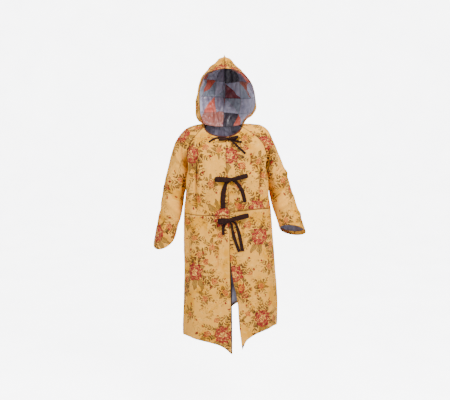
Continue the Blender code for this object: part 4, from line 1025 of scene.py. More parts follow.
def flat_places(points, closed):
    """Where each point lies on the cloth laid flat, in metres: (across, up).

    A first layout is let go until the lengths along, down and cornerwise fit the cloth.
    """
    if closed:
        points = np.concatenate([points, points[:, :1]], axis=1)
    coarse = points[::FINE, ::FINE]
    rows, columns = coarse.shape[:2]
    across = np.linalg.norm(np.diff(coarse, axis=1), axis=2)
    across = np.concatenate([np.zeros((rows, 1)), np.cumsum(across, axis=1)], axis=1)
    across -= across[:, columns // 2][:, None]
    down = np.linalg.norm(np.diff(coarse, axis=0), axis=2)
    down = np.concatenate([np.zeros((1, columns)), np.cumsum(down, axis=0)])
    flat = np.stack([across, -down], axis=2).reshape(-1, 2)
    index = np.arange(rows * columns).reshape(rows, columns)
    start = np.concatenate([index[:, :-1].ravel(), index[:-1].ravel(), index[:-1, :-1].ravel(),
                            index[:-1, 1:].ravel()])
    end = np.concatenate([index[:, 1:].ravel(), index[1:].ravel(), index[1:, 1:].ravel(),
                          index[1:, :-1].ravel()])
    places = coarse.reshape(-1, 3)
    rest = np.linalg.norm(places[end] - places[start], axis=1)
    count = np.bincount(np.concatenate([start, end]))[:, None]
    for _ in range(500):
        gap = flat[end] - flat[start]
        length = np.maximum(np.linalg.norm(gap, axis=1), 1e-6)
        pull = gap * (0.5 - 0.5 * rest / length)[:, None]
        move = np.zeros(flat.shape)
        np.add.at(move, start, pull)
        np.add.at(move, end, -pull)
        flat = flat + 1.4 * move / count
    flat = spline_rows(flat.reshape(rows, columns, 2))
    return spline_rows(flat.transpose(1, 0, 2)).transpose(1, 0, 2)


def edge_distance(points, closed):
    """How far each point is from the nearest edge of its panel, along the cloth."""
    down = np.linalg.norm(np.diff(points, axis=0), axis=2)
    from_top = np.concatenate([np.zeros((1, points.shape[1])), np.cumsum(down, axis=0)])
    nearest = np.minimum(from_top, from_top[-1] - from_top)
    if not closed:
        across = np.linalg.norm(np.diff(points, axis=1), axis=2)
        from_left = np.concatenate([np.zeros((len(points), 1)), np.cumsum(across, axis=1)], axis=1)
        nearest = np.minimum(nearest, np.minimum(from_left, from_left[:, -1:] - from_left))
    return nearest


def line_height(a, b, start, end, width, depth, one_sided=0.0):
    """Height of one crease over places (a, b), along the line from start to end."""
    run = (end[0] - start[0], end[1] - start[1])
    length = math.hypot(*run)
    t = ((a - start[0]) * run[0] + (b - start[1]) * run[1]) / length**2
    away = ((a - start[0]) * run[1] - (b - start[1]) * run[0]) / length
    ends = smooth_step(np.minimum(t + 0.22, 1.22 - t) / 0.4)
    ridge = np.exp(-((away / width) ** 2))
    if one_sided:
        ridge = ridge * np.clip(away / 0.003 + 0.5, 0.0, 1.0)
    return depth * ends * ridge


def rumple(points, scale, seed):
    """Smooth uneven heights, about -1 to 1, the same at the same place on any piece."""
    flat = points.reshape(-1, 3) * scale + seed
    values = [noise.noise(Vector(p)) for p in flat]
    return np.array(values).reshape(points.shape[:2])


def distance_to(points, line):
    """Distance of every point to the nearest point of a line."""
    flat = points.reshape(-1, 3)
    nearest = np.full(len(flat), 9.0)
    for place in line:
        nearest = np.minimum(nearest, np.linalg.norm(flat - place, axis=1))
    return nearest.reshape(points.shape[:2])


class Cloth:
    """One piece of cloth: fine points, directions out of it, flat places and edge distances."""

    def __init__(self, name, points, flat, turned=False, closed=False):
        self.name = name
        self.turned = turned
        self.closed = closed
        self.points = points
        self.out = outward(points, closed, turned)
        self.flat = flat
        self.edge = edge_distance(points, closed)


def panel_cloth(name, grid, turned, closed=False):
    """A panel's cloth from the grid that it is cut to.  A sleeve's grid is split inside."""
    if closed:
        grid = np.roll(grid, grid.shape[1] // 2, axis=1)
    points = finer(name, grid, closed)
    return Cloth(name, points, flat_places(points, closed), turned, closed)


def share_directions(cloths):
    """Panels that meet at a seam take the same direction there."""
    total = {}
    for cloth in cloths:
        keys = np.round(cloth.points * 20000).astype(int)
        cloth.keys = [tuple(k) for k in keys.reshape(-1, 3)]
        for key, direction in zip(cloth.keys, cloth.out.reshape(-1, 3)):
            total[key] = total.get(key, 0.0) + direction
    for cloth in cloths:
        shared = np.array([total[key] for key in cloth.keys]).reshape(cloth.points.shape)
        cloth.out = shared / np.maximum(np.linalg.norm(shared, axis=2, keepdims=True), 1e-9)


def crease_body(cloth, depth, neckline):
    """Lifts and presses a body panel along its creases, softly to nothing at the armholes."""
    p = cloth.points
    x, y, z = p[..., 0], p[..., 1], p[..., 2]
    height = np.zeros(x.shape)
    for side, start, end, width, rise, one_sided in BODY_CREASES:
        facing = (y < 0) if side == "front" else (y >= 0)
        height += np.where(facing, line_height(x, z, start, end, width, rise, one_sided), 0.0)
    height += 0.0016 * rumple(p * np.array([1.0, 1.0, 0.45]), 17.0, 3.1) + 0.0007 * rumple(p, 46.0, 7.7)
    waist = np.abs(z + 0.418)
    pucker = rumple(p * np.array([1.0, 1.0, 0.25]), 75.0, 1.3)
    height += 0.0011 * pucker * np.exp(-((waist / 0.022) ** 2))
    fade = smooth_step(distance_to(p, neckline) / 0.040)
    side_fade = np.clip(np.abs(y) / 0.030, 0.15, 1.0)
    return height * depth * fade * side_fade


def crease_sleeve(cloth, side, depth):
    """Creases of a sleeve, with fewer inside, where it lies by the body."""
    rows, columns = cloth.points.shape[:2]
    share = np.linspace(0.0, 1.0, rows)[:, None] * np.ones((1, columns))
    turn = (np.arange(columns) / columns * 360.0 + 180.0)[None, :] * np.ones((rows, 1))
    metres = METRES_PER_DEGREE[side]
    height = np.zeros((rows, columns))
    for start, end, width, rise in SLEEVE_CREASES[side]:
        for lap in (-360.0, 0.0, 360.0):
            a = (turn + lap) * metres
            b = share * SLEEVE_LENGTH
            ends = ((start[0] * metres, start[1] * SLEEVE_LENGTH), (end[0] * metres, end[1] * SLEEVE_LENGTH))
            height += line_height(a, b, ends[0], ends[1], width, 1.5 * rise)
    height += 0.0012 * rumple(cloth.points, 19.0, 11.3) + 0.0006 * rumple(cloth.points, 48.0, 2.2)
    fade = np.clip(share / 0.12, 0.0, 1.0) * np.clip((1.0 - share) / 0.03, 0.35, 1.0)
    inside = np.abs((turn + 180.0) % 360.0 - 180.0)
    near_body = np.clip((inside - 130.0) / 40.0, 0.0, 1.0)
    height = height * (1.0 - near_body) + np.minimum(height, 0.0) * near_body
    return height * depth * fade


def crease_hood(cloth, depth):
    """Creases of one half of the hood."""
    rows, columns = cloth.points.shape[:2]
    a = np.linspace(0.0, 1.0, columns)[None, :] * np.ones((rows, 1))
    b = np.linspace(0.0, 1.0, rows)[:, None] * np.ones((1, columns))
    height = np.zeros((rows, columns))
    shift = 0.0 if cloth.name.endswith("right") else 0.07
    for start, end, width, rise in HOOD_CREASES:
        height += line_height(a, b + shift, start, end, width, rise)
    height += 0.0012 * rumple(cloth.points, 18.0, 5.9) + 0.0006 * rumple(cloth.points, 50.0, 4.4)
    fade = np.minimum(np.minimum(b, 1 - b) / 0.10, np.minimum(a / 0.04 + 0.2, (1 - a) / 0.08))
    return height * depth * np.clip(fade, 0.0, 1.0)


def cut_cloths():
    """Every panel of tapestry cloth, creased."""
    front_right, seam_right = bodice_front("right")
    front_left, seam_left = bodice_front("left")
    tuck_under(front_left, front_right)
    skirt_right = skirt_front("right", front_right[-1])
    skirt_left = skirt_front("left", front_left[-1])
    tuck_under(skirt_left[1:], skirt_right)
    back, back_right, back_left = bodice_back()
    cloths = [
        panel_cloth("bodice_front_right", front_right, False),
        panel_cloth("bodice_front_left", front_left, True),
        panel_cloth("bodice_back", back, False),
        panel_cloth("skirt_front_right", skirt_right, False),
        panel_cloth("skirt_front_left", skirt_left, True),
        panel_cloth("skirt_back", skirt_back(back[-1]), False),
        panel_cloth("sleeve_right", sleeve("right", seam_right, back_right), True, True),
        panel_cloth("sleeve_left", sleeve("left", seam_left, back_left), False, True),
        panel_cloth("hood_right", hood_half("right"), True),
        panel_cloth("hood_left", hood_half("left"), False),
    ]
    by_name = {cloth.name: cloth for cloth in cloths}
    share_directions(cloths[:6])
    share_directions(cloths[8:])
    depth = bpy.context.scene.coat_cloth.crease_depth
    seams = [spline_rows(np.array(line)[:, None])[:, 0]
             for line in (seam_right, seam_left, back_right, back_left)]
    neckline = np.concatenate(seams + [front_right[0], front_left[0], back[0]])
    hood_foot = np.concatenate([by_name["hood_right"].points[0, ::2], by_name["hood_left"].points[0, ::2]])
    for cloth in cloths:
        if cloth.name.startswith("sleeve"):
            height = crease_sleeve(cloth, cloth.name[7:], depth)
        elif cloth.name.startswith("hood"):
            height = crease_hood(cloth, depth)
        else:
            height = crease_body(cloth, depth, neckline)
        # painted shade: the deepest folds are darkened like a seam, their edge distance lowered
        cloth.edge = np.minimum(cloth.edge, 0.05 * np.clip(1.0 + height / FOLD_SHADE_DEPTH, 0.03, 1.0))
        if cloth.name.startswith("hood"):
            # the hood's narrow tip is plain cloth up to its end
            near_tip = np.clip((cloth.points[..., 2] - HOOD_TIP) / 0.012, 0.0, 1.0)
            cloth.edge = np.maximum(cloth.edge, 0.006 * near_tip)
        # the cloth dips into each seam, but not where the hood is sewn on
        dip = SEAM_DIP * np.exp(-((cloth.edge / SEAM_DIP_WIDTH) ** 2))
        dip = dip * np.clip(distance_to(cloth.points, hood_foot) / 0.014, 0.0, 1.0)
        cloth.points = cloth.points + cloth.out * (height - dip)[..., None]
        cloth.out = outward(cloth.points, cloth.closed, cloth.turned)
    share_directions(cloths[:6])
    share_directions(cloths[8:])
    return by_name


# Meshes

def shell(name, outer, inner, cloth):
    """A thin closed shell between two grids, with its flat places as a UV map."""
    count_i, count_j = outer.shape[:2]
    last = count_j if cloth.closed else count_j - 1
    i, j = np.meshgrid(np.arange(count_i - 1), np.arange(last), indexing="ij")
    i = i.ravel()
    j = j.ravel()
    face = np.stack([np.stack([i, j], 1), np.stack([i, j + 1], 1),
                     np.stack([i + 1, j + 1], 1), np.stack([i + 1, j], 1)], axis=1)
    zeros = np.zeros((len(face), 4), dtype=int)
    places = [face, face[:, ::-1]]
    layers = [zeros, zeros + 1]
    k = np.arange(last)
    for row, order in ((0, (1, 0, 0, 1)), (count_i - 1, (0, 1, 1, 0))):
        corner = [np.stack([np.full(last, row), k + step], 1) for step in order]
        places.append(np.stack(corner, axis=1))
        layers.append(np.tile(np.array([0, 0, 1, 1]), (last, 1)))
    if not cloth.closed:
        k = np.arange(count_i - 1)
        for column, order in ((0, (0, 1, 1, 0)), (count_j - 1, (1, 0, 0, 1))):
            corner = [np.stack([k + step, np.full(count_i - 1, column)], 1) for step in order]
            places.append(np.stack(corner, axis=1))
            layers.append(np.tile(np.array([0, 0, 1, 1]), (count_i - 1, 1)))
    places = np.concatenate(places)
    layers = np.concatenate(layers)
    if cloth.turned:
        places = places[:, ::-1]
        layers = layers[:, ::-1]
    vertex = places[..., 0] * count_j + places[..., 1] % count_j + layers * count_i * count_j
    points = np.concatenate([outer.reshape(-1, 3), inner.reshape(-1, 3)])
    mesh = bpy.data.meshes.new(name)
    mesh.from_pydata(points.tolist(), [], vertex.tolist())
    corner_flat = cloth.flat[places[..., 0], places[..., 1]]
    add_uv(mesh, "cloth", corner_flat)
    # edge: distance to the nearest seam or hem; on the tapestry it is lowered in the deepest folds, which
    # paints shade there
    reach = mesh.attributes.new("edge", "FLOAT", "POINT")
    reach.data.foreach_set("value", np.tile(cloth.edge.ravel(), 2).astype(np.float32))
    mesh.update()
    mesh.shade_smooth()
    mesh.set_sharp_from_angle(angle=math.radians(60))
    return mesh, corner_flat


def add_uv(mesh, name, corners):
    """Gives a mesh a UV map of its corners' places."""
    layer = mesh.uv_layers.new(name=name)
    layer.data.foreach_set("uv", corners.reshape(-1).astype(np.float32))


def place_motifs(mesh, name, corners, centres):
    """A UV map with each face's place from its nearest motif's middle, turned with it."""
    centres = np.array(centres)
    middle = corners.mean(axis=1)
    nearest = np.zeros(len(middle), dtype=int)
    best = np.full(len(middle), 1e9)
    for k, (u, v, _) in enumerate(centres):
        away = (middle[:, 0] - u) ** 2 + (middle[:, 1] - v) ** 2
        closer = away < best
        nearest[closer] = k
        best[closer] = away[closer]
    chosen = centres[nearest]
    turn = np.radians(chosen[:, 2])[:, None]
    du = corners[..., 0] - chosen[:, 0][:, None]
    dv = corners[..., 1] - chosen[:, 1][:, None]
    local = np.stack([du * np.cos(turn) + dv * np.sin(turn), -du * np.sin(turn) + dv * np.cos(turn)], axis=2)
    add_uv(mesh, name, local)


def flat_corners(cloth):
    """The lowest and the highest place of the flat cloth."""
    places = cloth.flat.reshape(-1, 2)
    return places.min(axis=0), places.max(axis=0)


def rose_places(cloth):
    """The middles of a panel's large roses on the flat cloth, and their turns."""
    places = []
    front = cloth.out[..., 1] < 0.2
    for x, z, turn in ROSES.get(cloth.name, ()):
        away = (cloth.points[..., 0] - x) ** 2 + (cloth.points[..., 2] - z) ** 2 + np.where(front, 0.0, 9.0)
        i, j = np.unravel_index(np.argmin(away), away.shape)
        u, v = cloth.flat[i, j]
        places.append((u, v, turn))
    wide, tall = ROSE_REPEAT
    shift = 0.37 * sum(ord(letter) for letter in cloth.name) % 1.0
    low, high = flat_corners(cloth)
    k = 0
    v = low[1] + shift * 0.1
    while v < high[1]:
        u = low[0] + (0.5 * wide if k % 2 else 0.0) + 0.04
        while u < high[0]:
            away = (cloth.flat[..., 0] - u) ** 2 + (cloth.flat[..., 1] - v) ** 2
            i, j = np.unravel_index(np.argmin(away), away.shape)
            hidden = cloth.name not in ROSES or cloth.out[i, j % cloth.out.shape[1], 1] > 0.1
            if hidden and all(math.hypot(u - a, v - b) > 0.165 for a, b, _ in places):
                places.append((u, v, 70.0 * k + 900.0 * u))
            u += wide
        v += tall / 2
        k += 1
    return places


def spray_places(cloth, roses):
    """The middles of the small sprays, on an uneven lattice that leaves the roses room."""
    places = []
    low, high = flat_corners(cloth)
    rows = int((high[1] - low[1]) / SPRAY_STEP) + 2
    columns = int((high[0] - low[0]) / SPRAY_STEP) + 2
    seed = sum(ord(letter) for letter in cloth.name)
    noise.seed_set(SPRAY_SEED)
    for i in range(rows):
        for j in range(columns):
            wobble = noise.noise_vector(Vector((i * 3.7, j * 5.3, seed)))
            u = low[0] + (j + 0.5 * (i % 2)) * SPRAY_STEP + wobble.x * 0.045
            v = low[1] + i * SPRAY_STEP * 0.9 + wobble.y * 0.045
            bare = noise.noise(Vector((u * 6.0, v * 6.0, seed * 1.3))) < -0.13
            if not bare and all(math.hypot(u - a, v - b) > 0.096 for a, b, _ in roses):
                places.append((u, v, 400.0 * wobble.z))
    return places or [(9.0, 9.0, 0.0)]


def add_piece(name, mesh, finish, nodes):
    """Links a finished mesh, puts it in its nodes' place and lets it ride on the coat."""
    piece = bpy.data.objects.new(name, mesh)
    mesh.materials.append(finish)
    bpy.context.scene.collection.objects.link(piece)
    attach(piece, "root")
    if nodes:
        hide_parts(*nodes)
    return piece


# Ribbon, binding and facing

def front_depth(trees, x, z):
    """The y of the coat's outermost front surface at (x, z)."""
    found = None
    for tree in trees:
        hit = tree.ray_cast(Vector((x, -1.0, z)), Vector((0.0, 1.0, 0.0)))[0]
        if hit is not None and (found is None or hit.y < found):
            found = hit.y
    return found


def strip_cloth(name, middles, sides, widths, normals, crown):
    """A strip of ribbon as a grid: rows along it, columns across, crowned in the middle."""
    shares = np.linspace(-0.5, 0.5, 9)
    rows = []
    for middle, side, width, normal in zip(middles, sides, widths, normals):
        row = [middle + side * width * s + normal * crown * (1 - (2 * s) ** 2) for s in shares]
        rows.append(row)
    points = np.array(rows)
    along = np.linalg.norm(np.diff(points.mean(axis=1), axis=0), axis=1)
    along = np.concatenate([[0.0], np.cumsum(along)])
    flat = np.stack([np.multiply.outer(widths, shares), np.tile(-along[:, None], (1, len(shares)))], axis=2)
    return Cloth(name, points, flat)


# A loop of ribbon: place along it, lift off the coat, share of the full width
LOOP_SHAPE = (
    (0.00, 0.0060, 0.66),
    (0.20, 0.0036, 0.86),
    (0.50, 0.0030, 0.98),
    (0.78, 0.0036, 1.00),
    (0.93, 0.0048, 0.96),
    (1.00, 0.0090, 0.84),
    (0.95, 0.0136, 0.98),
    (0.80, 0.0164, 1.02),
    (0.50, 0.0172, 1.00),
    (0.20, 0.0140, 0.88),
    (0.00, 0.0090, 0.66),
)


def ribbon_loop(name, trees, start, tip, width):
    """Ribbon that leaves the knot, turns at the tip and comes back over itself."""
    width = width * (1.0 if "neck" in name else 1.15)
    a = np.array([start[0], 0.0, start[1]])
    b = np.array([tip[0], 0.0, tip[1]])
    reach = float(np.linalg.norm(b - a))
    along = (b - a) / reach
    across = np.array([-along[2], 0.0, along[0]])
    shape = smooth_curve(LOOP_SHAPE, 4)[0]
    middles = []
    for place, lift, _ in shape:
        spot = a + along * reach * place
        found = [front_depth(trees, *(spot + across * width * s + along * reach * t)[[0, 2]])
                 for s in (-0.5, 0.0, 0.5) for t in (-0.08, 0.0, 0.08)]
        found = [y for y in found if y is not None]
        middles.append([spot[0], min(found) - lift, spot[2]])
    middles = np.array(middles)
    for _ in range(2):
        middles[1:-1, 1] = 0.25 * middles[:-2, 1] + 0.5 * middles[1:-1, 1] + 0.25 * middles[2:, 1]
    tangent = np.gradient(middles, axis=0)
    normals = np.cross(np.tile(across, (len(middles), 1)), tangent)
    normals /= np.linalg.norm(normals, axis=1, keepdims=True)
    return strip_cloth(name, middles, [across] * len(middles), width * shape[:, 2], normals, 0.0010)


def ribbon_tail(name, trees, line, width):
    """A free end of ribbon that lies on the coat."""
    places = evenly(smooth_curve([(x, 0.0, z) for x, z in line])[0], 30)
    tangent = np.gradient(places, axis=0)
    tangent /= np.linalg.norm(tangent, axis=1, keepdims=True)
    across = np.stack([-tangent[:, 2], np.zeros(len(places)), tangent[:, 0]], axis=1)
    # the neck bow's tails stay narrow, the others' open out
    spread = 0.30 if "neck" in name else 0.70
    middles = []
    widths = []
    for k, spot in enumerate(places):
        found = [front_depth(trees, *(spot + across[k] * width * s)[[0, 2]]) for s in (-0.5, 0.0, 0.5)]
        found = [y for y in found if y is not None]
        lift = 0.0072 - 0.0052 * smooth_step(k / 12)
        lift += 0.0012 * (1 + math.sin(k * 0.62 + 40.0 * line[0][0])) * smooth_step((k - 6) / 8)
        middles.append([spot[0], min(found) - lift, spot[2]])
        widths.append(width * (0.70 + spread * smooth_step(k / 14)))
    middles = np.array(middles)
    for _ in range(3):
        middles[1:-1, 1] = 0.25 * middles[:-2, 1] + 0.5 * middles[1:-1, 1] + 0.25 * middles[2:, 1]
    normals = np.tile(np.array([0.0, -1.0, 0.0]), (len(middles), 1))
    return strip_cloth(name, middles, across, np.array(widths), normals, 0.0006)


def new_mesh(name, points, faces):
    """A mesh from its points and faces."""
    mesh = bpy.data.meshes.new(name)
    mesh.from_pydata(points, [], faces)
    mesh.update()
    return mesh


# Rings of points along the knot, and points round each
KNOT_RINGS = 16
KNOT_SIDES = 32


def knot_mesh(name, x, y, z):
    """The bow's knot: a soft lump of ribbon with the wraps' grooves."""
    wide, deep, tall = KNOT_SIZE
    rows = []
    for i in range(1, KNOT_RINGS):
        polar = math.pi * i / KNOT_RINGS
        row = []
        for j in range(KNOT_SIDES):
            turn = 2 * math.pi * j / KNOT_SIDES
            place = np.array([math.cos(polar), math.sin(polar) * math.cos(turn),
                              math.sin(polar) * math.sin(turn)])
            groove = 1.0 - 0.07 * abs(math.sin(3.0 * polar + 0.8 * math.sin(turn)))
            row.append(place * groove * np.array([wide, deep, tall]) / 2)
        rows.append(row)
    points = [tuple(p + np.array([x, y, z])) for row in rows for p in row]
    faces = []
    for i in range(KNOT_RINGS - 2):
        for j in range(KNOT_SIDES):
            k = (j + 1) % KNOT_SIDES
            here, beyond = i * KNOT_SIDES, (i + 1) * KNOT_SIDES
            faces.append((here + k, here + j, beyond + j, beyond + k))
    for end, row in ((wide / 2, 0), (-wide / 2, KNOT_RINGS - 2)):
        points.append((x + end * 0.96, y, z))
        for j in range(KNOT_SIDES):
            k = (j + 1) % KNOT_SIDES
            a, b = row * KNOT_SIDES + j, row * KNOT_SIDES + k
            faces.append((a, b, len(points) - 1) if row == 0 else (b, a, len(points) - 1))
    mesh = new_mesh(name, points, faces)
    mesh.shade_smooth()
    return mesh


def ribbon_shell(cloth):
    """The strip's thin closed shell."""
    half = cloth.out * (RIBBON / 2)
    return shell(cloth.name, cloth.points + half, cloth.points - half, cloth)[0]


def section_steps(sections):
    """The steps from each section to the next, at their first corners."""
    return [float(np.linalg.norm(b[0] - a[0])) for a, b in zip(sections, sections[1:])]


def swept(name, sections, turned):
    """A closed solid through sections with the same number of corners."""
    sides = len(sections[0])
    points = [tuple(p) for section in sections for p in section]
    faces = []
    for i in range(len(sections) - 1):
        for j in range(sides):
            k = (j + 1) % sides
            faces.append((i * sides + j, i * sides + k, (i + 1) * sides + k, (i + 1) * sides + j))
    end = (len(sections) - 1) * sides
    faces.append(tuple(reversed(range(sides))))
    faces.append(tuple(range(end, end + sides)))
    if turned:
        faces = [tuple(reversed(face)) for face in faces]
    mesh = bpy.data.meshes.new(name)
    mesh.from_pydata(points, [], faces)
    across = np.arange(sides) / sides * 0.03
    along = np.concatenate([[0.0], np.cumsum(section_steps(sections))])
    flat = np.stack(np.meshgrid(across, along), axis=2).reshape(-1, 2)
    corners = np.array([flat[loop.vertex_index] for loop in mesh.loops])
    add_uv(mesh, "cloth", corners)
    mesh.update()
    mesh.shade_smooth()
    mesh.set_sharp_from_angle(angle=math.radians(50))
    return mesh


def binding_sections(cloth, columns, gap):
    """Sections of the strip folded over the neckline."""
    thick = BINDING_THICKNESS
    profile = (
        (-gap - thick, BINDING_WIDTH),
        (-gap - 1.4 * thick, BINDING_WIDTH / 2),
        (-gap - thick, -gap - 0.5 * thick),
        (WALL / 2, -gap - 1.4 * thick),
        (WALL + gap + thick, -gap - 0.5 * thick),
        (WALL + gap + thick, BINDING_WIDTH),
        (WALL + gap, BINDING_WIDTH),
        (WALL + gap, -gap),
        (-gap, -gap),
        (-gap, BINDING_WIDTH),
    )
    sections = []
    for j in columns:
        edge = cloth.points[0, j]
        reach = cloth.points[FINE // 2, j] - edge
        reach = reach / np.linalg.norm(reach)
        inward = -cloth.out[1, j]
        sections.append([edge + reach * along + inward * deep for deep, along in profile])
    return sections


def facing_sections(cloth):
    """Sections of the strip inside the right skirt front that shows past its edge."""
    inner = cloth.points - cloth.out * (WALL + SEAM_GAP)
    rows = len(inner)
    sections = []
    for i in range(4 * FINE, rows):
        edge = inner[i, 0]
        to_panel = inner[i, 2] - edge
        to_panel /= np.linalg.norm(to_panel)
        deep = -cloth.out[i, 0] * BINDING_THICKNESS
        if i == rows - 1:
            edge = edge + (inner[i - 1, 0] - inner[i, 0]) * 0.4
        near = edge + to_panel * FACING_UNDER
        far = edge - to_panel * FACING_SHOWS
        sections.append([far, near, near + deep, far + deep])
    return sections


# Colours, as red, green, blue from 0 to 255
COLOURS = {
    "ground": (228, 160, 58),
    "ground deep": (216, 146, 26),
    "ground pale": (238, 184, 92),
    "outline": (60, 26, 14),
    "leaf": (84, 60, 20),
    "leaf grey": (108, 86, 40),
    "sprig": (54, 22, 12),
    "bud": (124, 32, 20),
    "rose dark": (76, 12, 14),
    "rose red": (142, 28, 24),
    "rose crimson": (112, 16, 22),
    "rose pink": (190, 78, 54),
    "rose cream": (232, 170, 78),
    "lining": (120, 112, 130),
    "lining pale": (158, 156, 176),
    "lining deep": (82, 72, 88),
    "velvet": (24, 7, 3),
    "binding": (62, 22, 20),
    "facing": (14, 8, 10),
    "thread": (196, 150, 96),
    "patch brown": (96, 56, 42),
    "patch rust": (148, 74, 46),
    "patch orange": (196, 78, 44),
    "patch red": (110, 28, 30),
    "patch black": (26, 20, 26),
    "patch grey": (130, 138, 152),
}


def colour(name):
    """A colour of the table as the shader's own linear values."""
    channels = []
    for value in COLOURS[name]:
        value /= 255
        channels.append(value / 12.92 if value <= 0.04045 else ((value + 0.055) / 1.055) ** 2.4)
    return (*channels, 1.0)


class Nodes:
    """Short ways to add shader nodes to a tree."""

    def __init__(self, tree):
        self.tree = tree

    def add(self, kind, **settings):
        node = self.tree.nodes.new(kind)
        for name, value in settings.items():
            setattr(node, name, value)
        return node

    def feed(self, socket, value):
        if isinstance(value, bpy.types.NodeSocket):
            self.tree.links.new(value, socket)
        else:
            socket.default_value = value

    def math(self, operation, *values):
        node = self.add("ShaderNodeMath", operation=operation)
        for socket, value in zip(node.inputs, values):
            self.feed(socket, value)
        return node.outputs[0]

    def plus(self, a, b):
        return self.math("ADD", a, b)

    def minus(self, a, b):
        return self.math("SUBTRACT", a, b)

    def times(self, a, b):
        return self.math("MULTIPLY", a, b)

    def below(self, a, b):
        return self.math("LESS_THAN", a, b)

    def larger(self, a, b):
        return self.math("MAXIMUM", a, b)

    def amount(self, a):
        return self.math("ABSOLUTE", a)

    def vector(self, operation, *values):
        node = self.add("ShaderNodeVectorMath", operation=operation)
        for socket, value in zip(node.inputs, values):
            self.feed(socket, value)
        return node.outputs["Value" if operation == "LENGTH" else "Vector"]

    def scaled(self, vector, factor):
        node = self.add("ShaderNodeVectorMath", operation="SCALE")
        self.feed(node.inputs[0], vector)
        self.feed(node.inputs["Scale"], factor)
        return node.outputs[0]

    def parts(self, vector):
        node = self.add("ShaderNodeSeparateXYZ")
        self.feed(node.inputs[0], vector)
        return node.outputs[0], node.outputs[1]

    def join(self, x, y, z=0.0):
        node = self.add("ShaderNodeCombineXYZ")
        for socket, value in zip(node.inputs, (x, y, z)):
            self.feed(socket, value)
        return node.outputs[0]

    def turned(self, vector, angle):
        node = self.add("ShaderNodeVectorRotate", rotation_type="Z_AXIS")
        self.feed(node.inputs["Vector"], vector)
        self.feed(node.inputs["Angle"], angle)
        return node.outputs[0]

    def noise(self, vector, scale, detail=2.0, rough=0.5, out="Fac"):
        node = self.add("ShaderNodeTexNoise")
        self.feed(node.inputs["Vector"], vector)
        node.inputs["Scale"].default_value = scale
        node.inputs["Detail"].default_value = detail
        node.inputs["Roughness"].default_value = rough
        return node.outputs[out]

    def mix(self, factor, a, b, blend="MIX"):
        node = self.add("ShaderNodeMix", data_type="RGBA", blend_type=blend)
        for socket, value in zip((node.inputs[0], node.inputs[6], node.inputs[7]), (factor, a, b)):
            self.feed(socket, value)
        return node.outputs[2]

    def ramp(self, value, stops, hard=False):
        node = self.add("ShaderNodeValToRGB")
        node.color_ramp.interpolation = "CONSTANT" if hard else "LINEAR"
        while len(node.color_ramp.elements) < len(stops):
            node.color_ramp.elements.new(0.5)
        for element, (place, tone) in zip(node.color_ramp.elements, stops):
            element.position = place
            element.color = colour(tone)
        self.feed(node.inputs[0], value)
        return node.outputs[0]

    def rise(self, value, start, end, low=0.0, high=1.0):
        node = self.add("ShaderNodeMapRange", interpolation_type="SMOOTHSTEP")
        for socket, item in zip(node.inputs, (value, start, end, low, high)):
            self.feed(socket, item)
        return node.outputs[0]

    def use(self, group, **values):
        node = self.add("ShaderNodeGroup", node_tree=group)
        for name, value in values.items():
            self.feed(node.inputs[name.replace("_", " ")], value)
        return node.outputs


def new_group(name, inputs, outputs):
    """An empty shader group: its nodes, its inputs and the output node."""
    tree = bpy.data.node_groups.new(name, "ShaderNodeTree")
    kinds = {"value": "NodeSocketFloat", "vector": "NodeSocketVector", "colour": "NodeSocketColor"}
    for label, kind, preset in inputs:
        socket = tree.interface.new_socket(name=label, in_out="INPUT", socket_type=kinds[kind])
        if preset is not None:
            socket.default_value = preset
    for label, kind in outputs:
        tree.interface.new_socket(name=label, in_out="OUTPUT", socket_type=kinds[kind])
    nodes = Nodes(tree)
    return tree, nodes, nodes.add("NodeGroupInput").outputs, nodes.add("NodeGroupOutput").inputs


def leaf_group():
    """One leaf: its fill, and its outline with the middle vein."""
    tree, n, get, put = new_group(
        "coat leaf",
        (("Place", "vector", None), ("At", "vector", None), ("Angle", "value", 0.0),
         ("Length", "value", 0.03), ("Width", "value", 0.012)),
        (("Fill", "value"), ("Line", "value")),
    )
    local = n.turned(n.vector("SUBTRACT", get["Place"], get["At"]), n.times(get["Angle"], -1.0))
    x, y = n.parts(local)
    t = n.math("DIVIDE", x, get["Length"])
    inside = n.times(n.math("GREATER_THAN", t, 0.0), n.below(t, 1.0))
    swell = n.math("SINE", n.times(n.math("POWER", n.larger(t, 0.0001), 0.72), math.pi))
    half = n.times(n.larger(swell, 0.001), n.times(get["Width"], 0.5))
    away = n.amount(y)
    fill = n.times(n.below(away, half), inside)
    rim = n.below(n.amount(n.minus(away, half)), 0.0011)
    vein = n.below(away, 0.0007)
    side = n.math("PINGPONG", n.minus(x, away), 0.0030)
    ribs = n.times(n.below(side, 0.0006), 0.6)
    line = n.larger(rim, n.times(n.larger(vein, ribs), fill))
    n.feed(put["Fill"], fill)
    n.feed(put["Line"], n.times(line, inside))
    return tree


